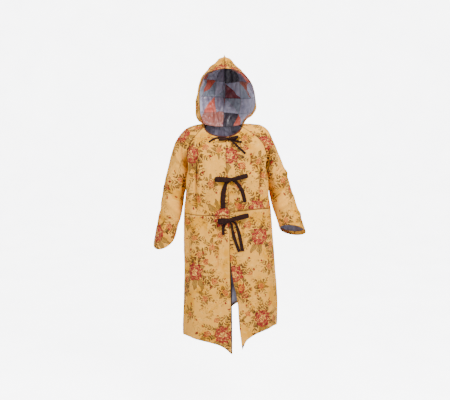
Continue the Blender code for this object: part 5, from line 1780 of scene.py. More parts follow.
def sprig_group():
    """A curved stem with paired leaves and a bud at its tip."""
    tree, n, get, put = new_group(
        "coat sprig",
        (("Place", "vector", None), ("At", "vector", None), ("Angle", "value", 0.0),
         ("Length", "value", 0.05), ("Curl", "value", 0.0)),
        (("Leaves", "value"), ("Bud", "value")),
    )
    local = n.turned(n.vector("SUBTRACT", get["Place"], get["At"]), n.times(get["Angle"], -1.0))
    x, y = n.parts(local)
    left = n.minus(get["Length"], x)
    bend = n.times(n.times(get["Curl"], x), left)
    away = n.amount(n.minus(y, bend))
    inside = n.times(n.math("GREATER_THAN", x, 0.0), n.math("GREATER_THAN", left, 0.0))
    stem = n.below(away, 0.0010)
    back = n.minus(x, n.times(away, 0.9))
    step = n.minus(n.math("MODULO", n.plus(back, 0.15), 0.0150), 0.0075)
    share = n.plus(n.times(n.math("DIVIDE", left, get["Length"]), 0.5), 0.6)
    a = n.math("DIVIDE", step, n.times(share, 0.0048))
    b = n.math("DIVIDE", n.minus(away, 0.0064), n.times(share, 0.0060))
    blob = n.below(n.plus(n.times(a, a), n.times(b, b)), 1.0)
    tip = n.vector("LENGTH", n.join(left, away))
    n.feed(put["Leaves"], n.times(n.larger(stem, blob), inside))
    n.feed(put["Bud"], n.below(tip, 0.0044))
    return tree


def rose_group():
    """A round flower with scalloped petals, seen from above."""
    tree, n, get, put = new_group(
        "coat rose",
        (("Place", "vector", None), ("At", "vector", None), ("Radius", "value", 0.034)),
        (("Colour", "colour"), ("Mask", "value")),
    )
    local = n.vector("SUBTRACT", get["Place"], get["At"])
    x, y = n.parts(local)
    turn = n.math("ARCTAN2", y, x)
    away = n.math("DIVIDE", n.vector("LENGTH", n.join(x, y)), get["Radius"])
    scallop = n.amount(n.math("COSINE", n.times(turn, 4.5)))
    outer = n.plus(n.times(n.math("POWER", scallop, 0.6), 0.20), 0.82)
    r = n.math("DIVIDE", away, outer)
    swirl = n.math("SINE", n.plus(n.times(turn, 5.0), n.times(away, 11.0)))
    uneven = n.minus(n.noise(local, 160.0, 2.0), 0.5)
    place = n.plus(r, n.times(swirl, 0.090))
    place = n.plus(place, n.times(uneven, 0.55))
    tone = n.ramp(place, (
        (0.00, "rose red"), (0.08, "rose cream"), (0.14, "rose dark"), (0.20, "rose red"),
        (0.28, "rose cream"), (0.35, "rose cream"), (0.41, "rose red"), (0.50, "rose crimson"),
        (0.60, "rose pink"), (0.64, "rose crimson"), (0.71, "rose cream"), (0.74, "rose crimson"),
        (0.84, "rose red"), (0.87, "rose pink"), (0.90, "rose crimson"),
    ))
    petals = n.rise(scallop, 0.0, 0.35, 0.75, 0.0)
    petals = n.times(petals, n.rise(r, 0.55, 0.72))
    n.feed(put["Colour"], n.mix(petals, tone, colour("rose dark")))
    n.feed(put["Mask"], n.below(n.plus(r, n.times(uneven, 0.80)), 1.0))
    return tree


def small_rose_group():
    """A small flower: rings of petals in outline, with the ground between them."""
    tree, n, get, put = new_group(
        "coat small rose",
        (("Place", "vector", None), ("At", "vector", None), ("Radius", "value", 0.015),
         ("Ground", "colour", None)),
        (("Colour", "colour"),),
    )
    local = n.vector("SUBTRACT", get["Place"], get["At"])
    x, y = n.parts(local)
    turn = n.math("ARCTAN2", y, x)
    away = n.math("DIVIDE", n.vector("LENGTH", n.join(x, y)), get["Radius"])
    scallop = n.amount(n.math("COSINE", n.times(turn, 2.5)))
    r = n.math("DIVIDE", away, n.plus(n.times(scallop, 0.22), 0.80))
    uneven = n.minus(n.noise(local, 220.0, 2.0), 0.5)
    r = n.plus(r, n.times(uneven, 0.30))
    inner = n.below(r, 0.26)
    ring = n.below(n.amount(n.minus(r, 0.52)), 0.09)
    rim = n.below(n.amount(n.minus(r, 0.90)), 0.12)
    blush = n.times(n.below(r, 0.90), 0.22)
    tone = n.mix(blush, get["Ground"], colour("rose pink"))
    marks = n.larger(inner, n.larger(ring, rim))
    n.feed(put["Colour"], n.mix(n.times(marks, 0.9), tone, colour("rose red")))
    return tree


def motif_group(name, roses, flowers, leaves, sprigs, groups):
    """A bouquet or spray laid over the ground colour."""
    leaf, sprig, rose, small_rose = groups
    tree, n, get, put = new_group(
        name, (("Ground", "colour", None), ("Place", "vector", None)), (("Colour", "colour"),))
    tone = get["Ground"]
    lines = 0.0
    fills = 0.0
    for x, y, angle, length, width in leaves:
        made = n.use(leaf, Place=get["Place"], At=(x, y, 0.0), Angle=math.radians(angle),
                     Length=length, Width=width)
        fills = n.larger(fills, made["Fill"])
        lines = n.larger(lines, made["Line"])
    twigs = 0.0
    buds = 0.0
    for x, y, angle, length, curl in sprigs:
        made = n.use(sprig, Place=get["Place"], At=(x, y, 0.0), Angle=math.radians(angle),
                     Length=length, Curl=curl)
        twigs = n.larger(twigs, made["Leaves"])
        buds = n.larger(buds, made["Bud"])
    two_tone = n.mix(n.noise(get["Place"], 60.0, 1.0), colour("leaf"), colour("leaf grey"))
    twig_tone = n.mix(n.rise(n.noise(get["Place"], 28.0, 1.0), 0.42, 0.58), colour("sprig"), colour("leaf"))
    tone = n.mix(n.times(twigs, 0.92), tone, twig_tone)
    tone = n.mix(n.times(fills, 0.62), tone, two_tone)
    tone = n.mix(n.times(lines, 0.80), tone, colour("outline"))
    tone = n.mix(buds, tone, colour("bud"))
    for x, y, radius in flowers:
        tone = n.use(small_rose, Place=get["Place"], At=(x, y, 0.0), Radius=radius, Ground=tone)["Colour"]
    for x, y, radius in roses:
        made = n.use(rose, Place=get["Place"], At=(x, y, 0.0), Radius=radius)
        tone = n.mix(made["Mask"], tone, made["Colour"])
    n.feed(put["Colour"], tone)
    return tree


def weave_group():
    """Threads of the cloth: a height for the bump and a tone for the colour."""
    tree, n, get, put = new_group(
        "coat weave",
        (("Place", "vector", None), ("Threads", "value", 900.0)),
        (("Height", "value"), ("Tone", "value")),
    )
    x, y = n.parts(n.scaled(get["Place"], get["Threads"]))
    slant = n.plus(x, n.times(y, 0.5))
    warp = n.amount(n.math("SINE", n.times(slant, math.pi)))
    weft = n.amount(n.math("SINE", n.times(y, math.pi)))
    uneven = n.noise(get["Place"], 420.0, 2.0)
    height = n.times(n.times(warp, weft), n.plus(uneven, 0.5))
    n.feed(put["Height"], height)
    n.feed(put["Tone"], n.plus(n.times(height, 0.22), 0.86))
    return tree


def edge_group():
    """How near a seam or hem is, and the small puckers beside it.  On the tapestry the distance is lowered in
    the deepest folds, so Near paints shade there too.
    """
    tree, n, get, put = new_group(
        "coat edge", (("Distance", "value", 0.1), ("Place", "vector", None)),
        (("Near", "value"), ("Pucker", "value")),
    )
    near = n.rise(get["Distance"], 0.0, 0.0050, 1.0, 0.0)
    beside = n.rise(get["Distance"], 0.002, 0.026, 1.0, 0.0)
    ripple = n.noise(get["Place"], 75.0, 2.0)
    n.feed(put["Near"], near)
    n.feed(put["Pucker"], n.times(ripple, beside))
    return tree


def new_material(name):
    """A material with only its Principled shader and output, and the nodes to feed it."""
    made = bpy.data.materials.new(name)
    made.use_nodes = True
    shader = made.node_tree.nodes["Principled BSDF"]
    return made, Nodes(made.node_tree), shader


def set_shader(shader, rough, sheen=0.0, sheen_rough=0.5, specular=0.3, sheen_tint=None):
    shader.inputs["Roughness"].default_value = rough
    shader.inputs["Specular IOR Level"].default_value = specular
    shader.inputs["Sheen Weight"].default_value = sheen
    shader.inputs["Sheen Roughness"].default_value = sheen_rough
    if sheen_tint:
        shader.inputs["Sheen Tint"].default_value = sheen_tint


def uv_map(n, name):
    """The places of a UV map."""
    return n.add("ShaderNodeUVMap", uv_map=name).outputs[0]


def attribute(n, name):
    """The value of a mesh attribute."""
    return n.add("ShaderNodeAttribute", attribute_name=name, attribute_type="GEOMETRY").outputs["Fac"]


def object_place(n):
    """The place on the object itself."""
    return n.add("ShaderNodeTexCoord").outputs["Object"]


def add_bumps(n, shader, bumps):
    """Bump nodes in a row, each with its height, strength and distance."""
    normal = None
    for height, strength, distance in bumps:
        bump = n.add("ShaderNodeBump")
        bump.inputs["Strength"].default_value = strength
        bump.inputs["Distance"].default_value = distance
        n.feed(bump.inputs["Height"], height)
        if normal is not None:
            n.feed(bump.inputs["Normal"], normal)
        normal = bump.outputs[0]
    n.feed(shader.inputs["Normal"], normal)


def tapestry_material(groups):
    """The flowered tapestry cloth."""
    made, n, shader = new_material("coat_tapestry")
    look = bpy.context.scene.coat_cloth
    cloth = uv_map(n, "cloth")
    waver = n.vector("SUBTRACT", n.noise(cloth, 240.0, 1.0, out="Color"), (0.5, 0.5, 0.5))
    drift = n.vector("SUBTRACT", n.noise(cloth, 42.0, 1.0, out="Color"), (0.5, 0.5, 0.5))
    waver = n.vector("ADD", n.scaled(waver, 0.0026), n.scaled(drift, 0.0240))
    soft = n.noise(cloth, 9.0, 2.0)
    fine = n.noise(cloth, 55.0, 3.0, 0.6)
    ground = n.mix(n.rise(soft, 0.50, 0.60), colour("ground"), colour("ground deep"))
    ground = n.mix(n.rise(fine, 0.50, 0.74, 0.0, 0.7), ground, colour("ground pale"))
    # sketchy outlines of large faint leaves in the ground
    sketch = n.noise(n.vector("ADD", cloth, n.scaled(waver, 2.0)), 26.0, 1.0, 0.4)
    band = n.amount(n.minus(n.math("FRACT", n.times(sketch, 5.0)), 0.5))
    faint = n.rise(band, 0.035, 0.10, 1.0, 0.0)
    where = n.rise(n.noise(cloth, 12.0, 1.0), 0.46, 0.56)
    faint = n.times(n.times(faint, where), 0.62)
    ground = n.mix(faint, ground, colour("outline"))
    sprays = n.vector("ADD", uv_map(n, "spray"), waver)
    tone = n.use(groups["spray"], Ground=ground, Place=sprays)["Colour"]
    roses = n.vector("ADD", uv_map(n, "rose"), waver)
    tone = n.use(groups["bouquet"], Ground=tone, Place=roses)["Colour"]
    weave = n.use(groups["weave"], Place=cloth, Threads=look.threads)
    tone = n.mix(1.0, tone, n.join(weave["Tone"], weave["Tone"], weave["Tone"]), "MULTIPLY")
    # the wrong side of the cloth is duller, with its colours the other way round
    inside = attribute(n, "inside")
    dull = n.mix(0.62, tone, colour("leaf grey"))
    tone = n.mix(inside, tone, n.mix(0.45, dull, colour("lining deep")))
    edge = n.use(groups["edge"], Distance=attribute(n, "edge"), Place=cloth)
    # darker near seams, hems and front edges: dark seam lines, partly painted shade in the seams' dips and
    # along the lap edge; and painted shade in the deepest folds
    tone = n.mix(n.times(edge["Near"], 0.80), tone, colour("outline"))
    n.feed(shader.inputs["Base Color"], tone)
    n.feed(shader.inputs["Roughness"], n.rise(fine, 0.2, 0.8, 0.66, 0.86))
    add_bumps(n, shader, (
        (edge["Pucker"], 0.55, 0.0030),
        (n.noise(cloth, 38.0, 3.0), 0.30, 0.0035),
        (weave["Height"], 0.45, 0.0006),
    ))
    set_shader(shader, 0.78, 0.02, 0.45, 0.12, colour("ground pale"))
    return made


def satin_material(name, groups, patchwork=False):
    """The linings: satin, and for the hood a patchwork of squares and half squares."""
    made, n, shader = new_material(name)
    cloth = uv_map(n, "cloth")
    soft = n.noise(cloth, 14.0, 2.0)
    fine = n.noise(cloth, 90.0, 3.0)
    tone = n.ramp(soft, ((0.30, "lining deep"), (0.50, "lining"), (0.70, "lining pale")))
    rough = n.rise(fine, 0.3, 0.7, 0.30, 0.46)
    long_folds = n.noise(n.vector("MULTIPLY", cloth, (1.0, 0.30, 1.0)), 46.0, 3.0, 0.6)
    # painted shade: the satin is darker in the troughs of its long folds, the same noise that bumps them
    tone = n.mix(n.rise(long_folds, 0.40, 0.66, 0.55, 0.0), tone, colour("lining deep"))
    bumps = [(long_folds, 0.9, 0.0090), (fine, 0.25, 0.0010)]
    if patchwork:
        size = bpy.context.scene.coat_cloth.patch_size
        places = n.scaled(cloth, 1.0 / size)
        cell = n.vector("FLOOR", places)
        x, y = n.parts(n.vector("FRACTION", places))
        pick = n.add("ShaderNodeTexWhiteNoise", noise_dimensions="2D")
        n.feed(pick.inputs["Vector"], cell)
        first, second = n.parts(pick.outputs["Color"])
        shades = (
            (0.00, "lining"), (0.26, "patch brown"), (0.36, "lining pale"), (0.58, "patch rust"),
            (0.66, "patch orange"), (0.72, "patch grey"), (0.84, "patch black"), (0.92, "patch red"),
        )
        one = n.ramp(first, shades, hard=True)
        two = n.ramp(second, shades, hard=True)
        slope = n.plus(x, y)
        half = n.times(n.math("GREATER_THAN", slope, 1.0), n.math("GREATER_THAN", second, 0.35))
        patches = n.mix(half, one, two)
        tone = n.mix(0.82, tone, patches)
        border = n.math("MINIMUM", n.math("PINGPONG", x, 0.5), n.math("PINGPONG", y, 0.5))
        seam = n.rise(border, 0.0, 0.045, 1.0, 0.0)
        tone = n.mix(n.times(seam, 0.45), tone, colour("patch black"))
        quilting = n.amount(n.math("SINE", n.times(n.minus(x, y), 22.0)))
        bumps.append((n.minus(n.times(quilting, 0.3), seam), 0.5, 0.0020))
    edge = n.use(groups["edge"], Distance=attribute(n, "edge"), Place=cloth)
    tone = n.mix(n.times(edge["Near"], 0.45), tone, colour("patch black"))
    n.feed(shader.inputs["Base Color"], tone)
    n.feed(shader.inputs["Roughness"], rough)
    add_bumps(n, shader, bumps)
    set_shader(shader, 0.38, 0.25, 0.35, 0.45)
    return made


def velvet_material(name, tone_name, sheen):
    """Ribbon and binding: a short pile that is paler where it is brushed."""
    made, n, shader = new_material(name)
    place = object_place(n)
    pile = n.noise(place, 900.0, 2.0)
    brushed = n.noise(n.vector("MULTIPLY", place, (1.0, 1.0, 2.2)), 70.0, 3.0, 0.6)
    tone = n.mix(n.rise(brushed, 0.40, 0.80, 0.0, 0.40), colour(tone_name), colour("binding"))
    tone = n.mix(n.rise(pile, 0.45, 0.75, 0.0, 0.20), tone, colour("patch brown"))
    n.feed(shader.inputs["Base Color"], tone)
    n.feed(shader.inputs["Roughness"], n.rise(pile, 0.3, 0.7, 0.62, 0.84))
    add_bumps(n, shader, ((brushed, 0.35, 0.0018), (pile, 0.5, 0.0004)))
    set_shader(shader, 0.7, sheen, 0.35, 0.12, colour("rose pink"))
    return made


def thread_material():
    """The thread of the stitches."""
    made, n, shader = new_material("coat_thread")
    twist = n.noise(object_place(n), 1500.0, 1.0)
    n.feed(shader.inputs["Base Color"], n.mix(twist, colour("thread"), colour("outline")))
    n.feed(shader.inputs["Roughness"], n.rise(twist, 0.3, 0.7, 0.45, 0.7))
    add_bumps(n, shader, ((twist, 0.4, 0.0003),))
    set_shader(shader, 0.6, 0.1)
    return made


def backdrop_material():
    """The pale floor and wall."""
    made, n, shader = new_material("coat_backdrop")
    dust = n.noise(object_place(n), 3.0, 3.0)
    node = n.rise(dust, 0.3, 0.7, 0.88, 0.92)
    n.feed(shader.inputs["Base Color"], n.join(node, node, n.times(node, 1.008)))
    n.feed(shader.inputs["Roughness"], n.rise(dust, 0.3, 0.7, 0.82, 0.92))
    # the wall looks white, but lights the coat only a little
    seen = n.add("ShaderNodeLightPath").outputs["Is Camera Ray"]
    glow = n.times(node, n.rise(seen, 0.0, 1.0, 0.04, 1.0))
    n.feed(shader.inputs["Emission Color"], n.join(glow, glow, n.times(glow, 1.02)))
    shader.inputs["Emission Strength"].default_value = bpy.context.scene.coat_stage.backdrop_glow
    set_shader(shader, 0.9, 0.0, 0.5, 0.1)
    return made


MADE = {}


def finishes():
    """Every material of the coat, made once."""
    if MADE:
        return MADE
    groups = (leaf_group(), sprig_group(), rose_group(), small_rose_group())
    shared = {
        "bouquet": motif_group("coat bouquet", ((0.0, 0.0, 0.0430),), BOUQUET_FLOWERS,
                               BOUQUET_LEAVES, BOUQUET_SPRIGS, groups),
        "spray": motif_group("coat spray", (), SPRAY_FLOWERS, SPRAY_LEAVES, SPRAY_SPRIGS, groups),
        "weave": weave_group(),
        "edge": edge_group(),
    }
    MADE["tapestry"] = tapestry_material(shared)
    MADE["satin"] = satin_material("coat_satin", shared)
    MADE["patchwork"] = satin_material("coat_patchwork", shared, patchwork=True)
    MADE["velvet"] = velvet_material("coat_velvet", "velvet", 0.03)
    MADE["binding"] = velvet_material("coat_binding", "binding", 0.08)
    MADE["facing"] = velvet_material("coat_facing", "facing", 0.05)
    MADE["thread"] = thread_material()
    MADE["backdrop"] = backdrop_material()
    return MADE


CUT = {}


def cloths():
    """Every panel, cut and creased once."""
    if not CUT:
        CUT.update(cut_cloths())
    return CUT


def mark_inside(mesh, outer_faces, turnings):
    """A face attribute that is 1 on the wrong side of the cloth, not on a cuff's turnings."""
    inside = mesh.attributes.new("inside", "FLOAT", "FACE")
    values = np.zeros(len(mesh.polygons), dtype=np.float32)
    values[outer_faces:2 * outer_faces - turnings] = 1.0
    inside.data.foreach_set("value", values)


def add_panel(cloth):
    """One panel of tapestry in place of its solid."""
    wall = HOOD_WALL if cloth.name.startswith("hood") else WALL
    mesh, corners = shell(cloth.name, cloth.points, cloth.points - cloth.out * wall, cloth)
    rows, columns = cloth.points.shape[:2]
    outer_faces = (rows - 1) * (columns if cloth.closed else columns - 1)
    turnings = 3 * columns if cloth.closed else 0
    mark_inside(mesh, outer_faces, turnings)
    roses = rose_places(cloth)
    place_motifs(mesh, "rose", corners, roses)
    place_motifs(mesh, "spray", corners, spray_places(cloth, roses))
    piece = add_piece(cloth.name + "_tapestry", mesh, finishes()["tapestry"], [cloth.name])
    return piece


def add_lining(name, cloth, points, flat, finish):
    """A lining in place of its solid: its panel's cut at other points."""
    made = Cloth(name, points, flat, cloth.turned, cloth.closed)
    mesh = shell(name, points, points - made.out * LINING, made)[0]
    piece = add_piece(name + "_satin", mesh, finishes()[finish], [name])


# The left half's patches are cut from another part of the patchwork, this far away
OTHER_PATCHES = np.array([1.117, 0.742])


def crumple(points, depth, seed):
    """Uneven folds of a loose lining, from 0 to depth: long ones up and down, and small ones."""
    stretched = points * np.array([1.0, 1.0, 0.34])
    long_folds = 1.0 - np.abs(rumple(stretched, 26.0, seed)) * 2.4
    small = 1.0 - np.abs(rumple(points, 44.0, seed + 9.0)) * 2.4
    return depth * np.clip(0.68 * long_folds + 0.32 * small, 0.0, 1.0)


def hood_lining(side):
    """The patchwork lining of one half of the hood."""
    cloth = cloths()["hood_" + side]
    rows, columns = cloth.points.shape[:2]
    from_edge = np.minimum(np.arange(columns) / 8.0, 1.0)[None, :]
    from_ends = np.minimum(np.minimum(np.arange(rows) + 1.0, np.arange(rows)[::-1]) / 8.0, 1.0)[:, None]
    from_seam = np.clip((columns - 1 - np.arange(columns)) / 5.0, 0.0, 1.0)[None, :]
    loose = from_edge * from_ends * from_seam
    depth = HOOD_WALL + LAYER_GAP + crumple(cloth.points, 0.0140, 4.0) * loose
    points = cloth.points - cloth.out * depth[..., None]
    # its foot is turned in a little below the neck's seam
    points[0] += np.array([0.0, 0.0, -0.0045])
    flat = cloth.flat[:, 1:]
    if side == "left":
        flat = flat + OTHER_PATCHES
    add_lining("hood_lining_" + side, cloth, points[:, 1:], flat, "patchwork")


def cuff_lining(side):
    """The satin inside one cuff."""
    cloth = cloths()["sleeve_" + side]
    start = -(3 * FINE + 1)
    points = cloth.points - cloth.out * (WALL + SEAM_GAP + 0.0002)
    add_lining("cuff_lining_" + side, cloth, points[start:-3], cloth.flat[start:-3], "satin")


def back_lining():
    """The satin inside the back, from the neck down to the hem."""
    upper = cloths()["bodice_back"]
    lower = cloths()["skirt_back"]
    points = np.concatenate([upper.points, lower.points[1:]])
    flat = flat_places(points, False)
    out = np.concatenate([upper.out, lower.out[1:]])
    rows, columns = points.shape[:2]
    i = np.arange(rows)[:, None] / FINE
    j = np.arange(columns)[None, :] / FINE
    last_i = (rows - 1) / FINE
    last_j = (columns - 1) / FINE
    from_side = smooth_step(np.minimum(j, last_j - j) / 3)
    from_ends = smooth_step(np.minimum(i, last_i - i) / 3)
    under_arm = np.clip(1.0 - np.abs(i - YOKE_ROWS) / 4, 0.0, 1.0) * (1.0 - from_side)
    loose = np.maximum(from_side * from_ends, 0.6 * under_arm)
    depth = WALL + LAYER_GAP + loose * (LINING_EASE + crumple(points, 0.006, 8.0) * from_side)
    points = points - out * depth[..., None]
    # the lining's corner is cut away where the raglan seam meets the side seam
    cut = 0.90 * np.clip(1.0 - np.abs(i[:, 0] - YOKE_ROWS + 0.5) / 3, 0.0, 1.0)
    narrow = points.copy()
    for row in range(rows):
        place = j[0]
        moved = np.where(place < 1.0, cut[row] + (1.0 - cut[row]) * place, place)
        far = last_j - place
        moved = np.where(far < 1.0, last_j - (cut[row] + (1.0 - cut[row]) * far), moved)
        for axis in range(3):
            narrow[row, :, axis] = np.interp(moved, place, points[row, :, axis])
    add_lining("back_lining", upper, narrow[:-2, 2:-2], flat[:-2, 2:-2], "satin")


# Stitches

def stitch_shape():
    """One stitch: a short thread that dips into the cloth at both ends."""
    sides = 6
    rings = ((-0.50, 0.10, -0.6), (-0.36, 0.55, 0.1), (0.0, 0.62, 0.4), (0.36, 0.55, 0.1), (0.50, 0.10, -0.6))
    points = []
    for along, radius, lift in rings:
        for k in range(sides):
            turn = 2 * math.pi * k / sides
            points.append((along * STITCH_LENGTH, radius * THREAD * math.cos(turn),
                           THREAD * (radius * math.sin(turn) + lift)))
    faces = []
    for i in range(len(rings) - 1):
        for k in range(sides):
            m = (k + 1) % sides
            faces.append((i * sides + k, (i + 1) * sides + k, (i + 1) * sides + m, i * sides + m))
    faces.append(tuple(range(sides)))
    faces.append(tuple(reversed(range((len(rings) - 1) * sides, len(rings) * sides))))
    return bpy.data.objects.new("stitch", new_mesh("stitch", points, faces))


def stitch_tree(shape, finish):
    """Geometry nodes that set stitches along a line of edges, each flat on the cloth."""
    tree = bpy.data.node_groups.new("coat stitches", "GeometryNodeTree")
    tree.interface.new_socket(name="Geometry", in_out="INPUT", socket_type="NodeSocketGeometry")
    pitch = tree.interface.new_socket(name="Pitch", in_out="INPUT", socket_type="NodeSocketFloat")
    tree.interface.new_socket(name="Geometry", in_out="OUTPUT", socket_type="NodeSocketGeometry")
    nodes = tree.nodes
    start = nodes.new("NodeGroupInput")
    curve = nodes.new("GeometryNodeMeshToCurve")
    steps = nodes.new("GeometryNodeResampleCurve")
    steps.mode = "LENGTH"
    place = nodes.new("GeometryNodeInstanceOnPoints")
    info = nodes.new("GeometryNodeObjectInfo")
    info.inputs["Object"].default_value = shape
    tangent = nodes.new("GeometryNodeInputTangent")
    facing = nodes.new("GeometryNodeInputNamedAttribute")
    facing.data_type = "FLOAT_VECTOR"
    facing.inputs["Name"].default_value = "facing"
    aim = nodes.new("FunctionNodeAlignRotationToVector")
    aim.axis = "Z"
    swing = nodes.new("FunctionNodeAlignRotationToVector")
    swing.axis = "X"
    swing.pivot_axis = "Z"
    real = nodes.new("GeometryNodeRealizeInstances")
    paint = nodes.new("GeometryNodeSetMaterial")
    paint.inputs["Material"].default_value = finish
    end = nodes.new("NodeGroupOutput")
    for source, output, target, socket in (
        (start, "Geometry", curve, "Mesh"),
        (curve, "Curve", steps, "Curve"),
        (start, "Pitch", steps, "Length"),
        (steps, "Curve", place, "Points"),
        (info, "Geometry", place, "Instance"),
        (facing, "Attribute", aim, "Vector"),
        (aim, "Rotation", swing, "Rotation"),
        (tangent, "Tangent", swing, "Vector"),
        (swing, "Rotation", place, "Rotation"),
        (place, "Instances", real, "Geometry"),
        (real, "Geometry", paint, "Geometry"),
        (paint, "Geometry", end, "Geometry"),
    ):
        tree.links.new(source.outputs[output], target.inputs[socket])
    return tree, pitch.identifier


def add_stitches(name, line, out):
    """A row of stitches along a line of points, with their directions out of the cloth."""
    mesh = bpy.data.meshes.new(name + "_lines")
    mesh.from_pydata([tuple(p) for p in line], [(k, k + 1) for k in range(len(line) - 1)], [])
    facing = mesh.attributes.new("facing", "FLOAT_VECTOR", "POINT")
    facing.data.foreach_set("vector", np.array(out, dtype=np.float32).ravel())
    holder = bpy.data.objects.new(name + "_lines", mesh)
    bpy.context.scene.collection.objects.link(holder)
    shape = stitch_shape()
    bpy.context.scene.collection.objects.link(shape)
    tree, pitch = stitch_tree(shape, finishes()["thread"])
    sewn = holder.modifiers.new("stitches", "NODES")
    sewn.node_group = tree
    sewn[pitch] = bpy.context.scene.coat_cloth.stitch_pitch
    bpy.context.view_layer.update()
    graph = bpy.context.evaluated_depsgraph_get()
    result = bpy.data.meshes.new_from_object(holder.evaluated_get(graph))
    result.name = name
    bpy.data.objects.remove(holder)
    bpy.data.objects.remove(shape)
    bpy.data.node_groups.remove(tree)
    if not len(result.polygons):
        raise RuntimeError("no stitches were made for " + name)
    result.materials.clear()
    result.shade_smooth()
    return add_piece(name, result, finishes()["thread"], [])


# Operators

class CoatCloth(bpy.types.PropertyGroup):
    crease_depth: FloatProperty(
        name="Crease depth", description="How deep the cloth's small creases are", default=1.6, min=0.0,
        max=2.0)
    threads: FloatProperty(
        name="Threads", description="Threads of the weave in one metre", default=900.0, min=200.0, max=3000.0)
    patch_size: FloatProperty(
        name="Patch size", description="Side of a patch in the hood's lining", default=0.083, min=0.01,
        max=0.3, unit="LENGTH")
    stitch_pitch: FloatProperty(
        name="Stitch pitch", description="Distance from one stitch to the next", default=0.0046, min=0.002,
        max=0.02, unit="LENGTH")


class CoatStage(bpy.types.PropertyGroup):
    camera_place: FloatVectorProperty(
        name="Camera place", description="Where the camera stands", default=(-0.0125, -3.12, 0.03),
        subtype="TRANSLATION")
    lens: FloatProperty(
        name="Lens", description="The camera's focal length in millimetres", default=50.0, min=20.0,
        max=200.0)
    key_power: FloatProperty(
        name="Key light", description="Power of the large soft light in watts", default=158.0, min=0.0,
        max=1000.0)
    fill_power: FloatProperty(
        name="Fill light", description="Power of each fill light in watts", default=22.0, min=0.0, max=1000.0)
    backdrop_glow: FloatProperty(
        name="Backdrop glow", description="How brightly the backdrop shows", default=7.0,
        min=0.0, max=20.0)
    sky: FloatProperty(
        name="Sky", description="Strength of the light from all round", default=0.24, min=0.0, max=5.0)


class COAT_OT_tapestry(bpy.types.Operator):
    """Make the ten panels of flowered tapestry cloth"""
    bl_idname = "coat.tapestry"
    bl_label = "Tapestry panels"

    def execute(self, context):
        for cloth in cloths().values():
            add_panel(cloth)
        return {"FINISHED"}


class COAT_OT_linings(bpy.types.Operator):
    """Make the satin linings of the back, the cuffs and the hood"""
    bl_idname = "coat.linings"
    bl_label = "Linings"

    def execute(self, context):
        back_lining()
        for side in SIDES:
            hood_lining(side)
            cuff_lining(side)
        return {"FINISHED"}


class COAT_OT_edges(bpy.types.Operator):
    """Make the neckline's bindings and the strip along the front edge"""
    bl_idname = "coat.edges"
    bl_label = "Bindings"

    def execute(self, context):
        last = (FRONT_COLUMNS - 1) * FINE + 1
        for side, first, gap in (("right", 0, LAYER_GAP), ("left", 3, 2 * LAYER_GAP)):
            cloth = cloths()["bodice_front_" + side]
            name = "neck_binding_" + side
            sections = binding_sections(cloth, range(first * FINE, last), gap)
            mesh = swept(name, sections, cloth.turned)
            piece = add_piece(name + "_strip", mesh, finishes()["binding"], [name])
        sections = facing_sections(cloths()["skirt_front_right"])
        mesh = swept("edge_facing", sections, False)
        piece = add_piece("edge_facing_strip", mesh, finishes()["facing"], ["edge_facing"])
        return {"FINISHED"}


class COAT_OT_bows(bpy.types.Operator):
    """Make the three tied bows of velvet ribbon"""
    bl_idname = "coat.bows"
    bl_label = "Ribbon bows"

    def execute(self, context):
        names = ("bodice_front_right", "bodice_front_left", "skirt_front_right", "skirt_front_left")
        trees = [surface_tree(cloths()[name].points) for name in names]
        finish = finishes()["velvet"]
        wide, deep, tall = KNOT_SIZE
        for name, shape in BOWS.items():
            x, z = shape["knot"]
            back = 0.0
            for share in (0.0, 0.25, 0.50, 0.75, 0.98):
                for k in range(16):
                    turn = math.pi / 8 * k
                    a = x + wide / 2 * share * math.cos(turn)
                    b = z + tall / 2 * share * math.sin(turn)
                    reach = deep / 2 * math.sqrt(1.0 - share**2)
                    back = min(back, front_depth(trees, a, b) - SEAM_GAP - reach)
            knot = add_piece(name + "_knot", knot_mesh(name + "_knot", x, back, z), finish, [name])
            strips = []
            for k, (start, tip, width) in enumerate(shape["loops"]):
                strips.append(ribbon_loop("%s_loop_%d" % (name, k), trees, start, tip, width))
            for k, (line, width) in enumerate(shape["tails"]):
                strips.append(ribbon_tail("%s_tail_%d" % (name, k), trees, line, width))
            for k, strip in enumerate(strips):
                piece = add_piece(strip.name, ribbon_shell(strip), finish, [name])
        return {"FINISHED"}


class COAT_OT_stitches(bpy.types.Operator):
    """Sew the rows of stitches at the cuffs and along the bindings"""
    bl_idname = "coat.stitches"
    bl_label = "Stitches"

    def execute(self, context):
        for side in SIDES:
            cloth = cloths()["sleeve_" + side]
            out = cloth.out[CUFF_STITCH_ROW]
            line = cloth.points[CUFF_STITCH_ROW] + out * SEAM_GAP
            add_stitches("cuff_stitches_" + side, line, out)
            cloth = cloths()["bodice_front_" + side]
            first = 0 if side == "right" else 3 * FINE
            gap = (LAYER_GAP if side == "right" else 2 * LAYER_GAP) + BINDING_THICKNESS * 1.3
            columns = slice(first, (FRONT_COLUMNS - 1) * FINE + 1)
            edge = cloth.points[0, columns]
            reach = cloth.points[FINE // 2, columns] - edge
            reach /= np.linalg.norm(reach, axis=1, keepdims=True)
            out = cloth.out[1, columns]
            line = edge + reach * BINDING_WIDTH * 0.72 + out * gap
            add_stitches("binding_stitches_" + side, line, out)
        return {"FINISHED"}


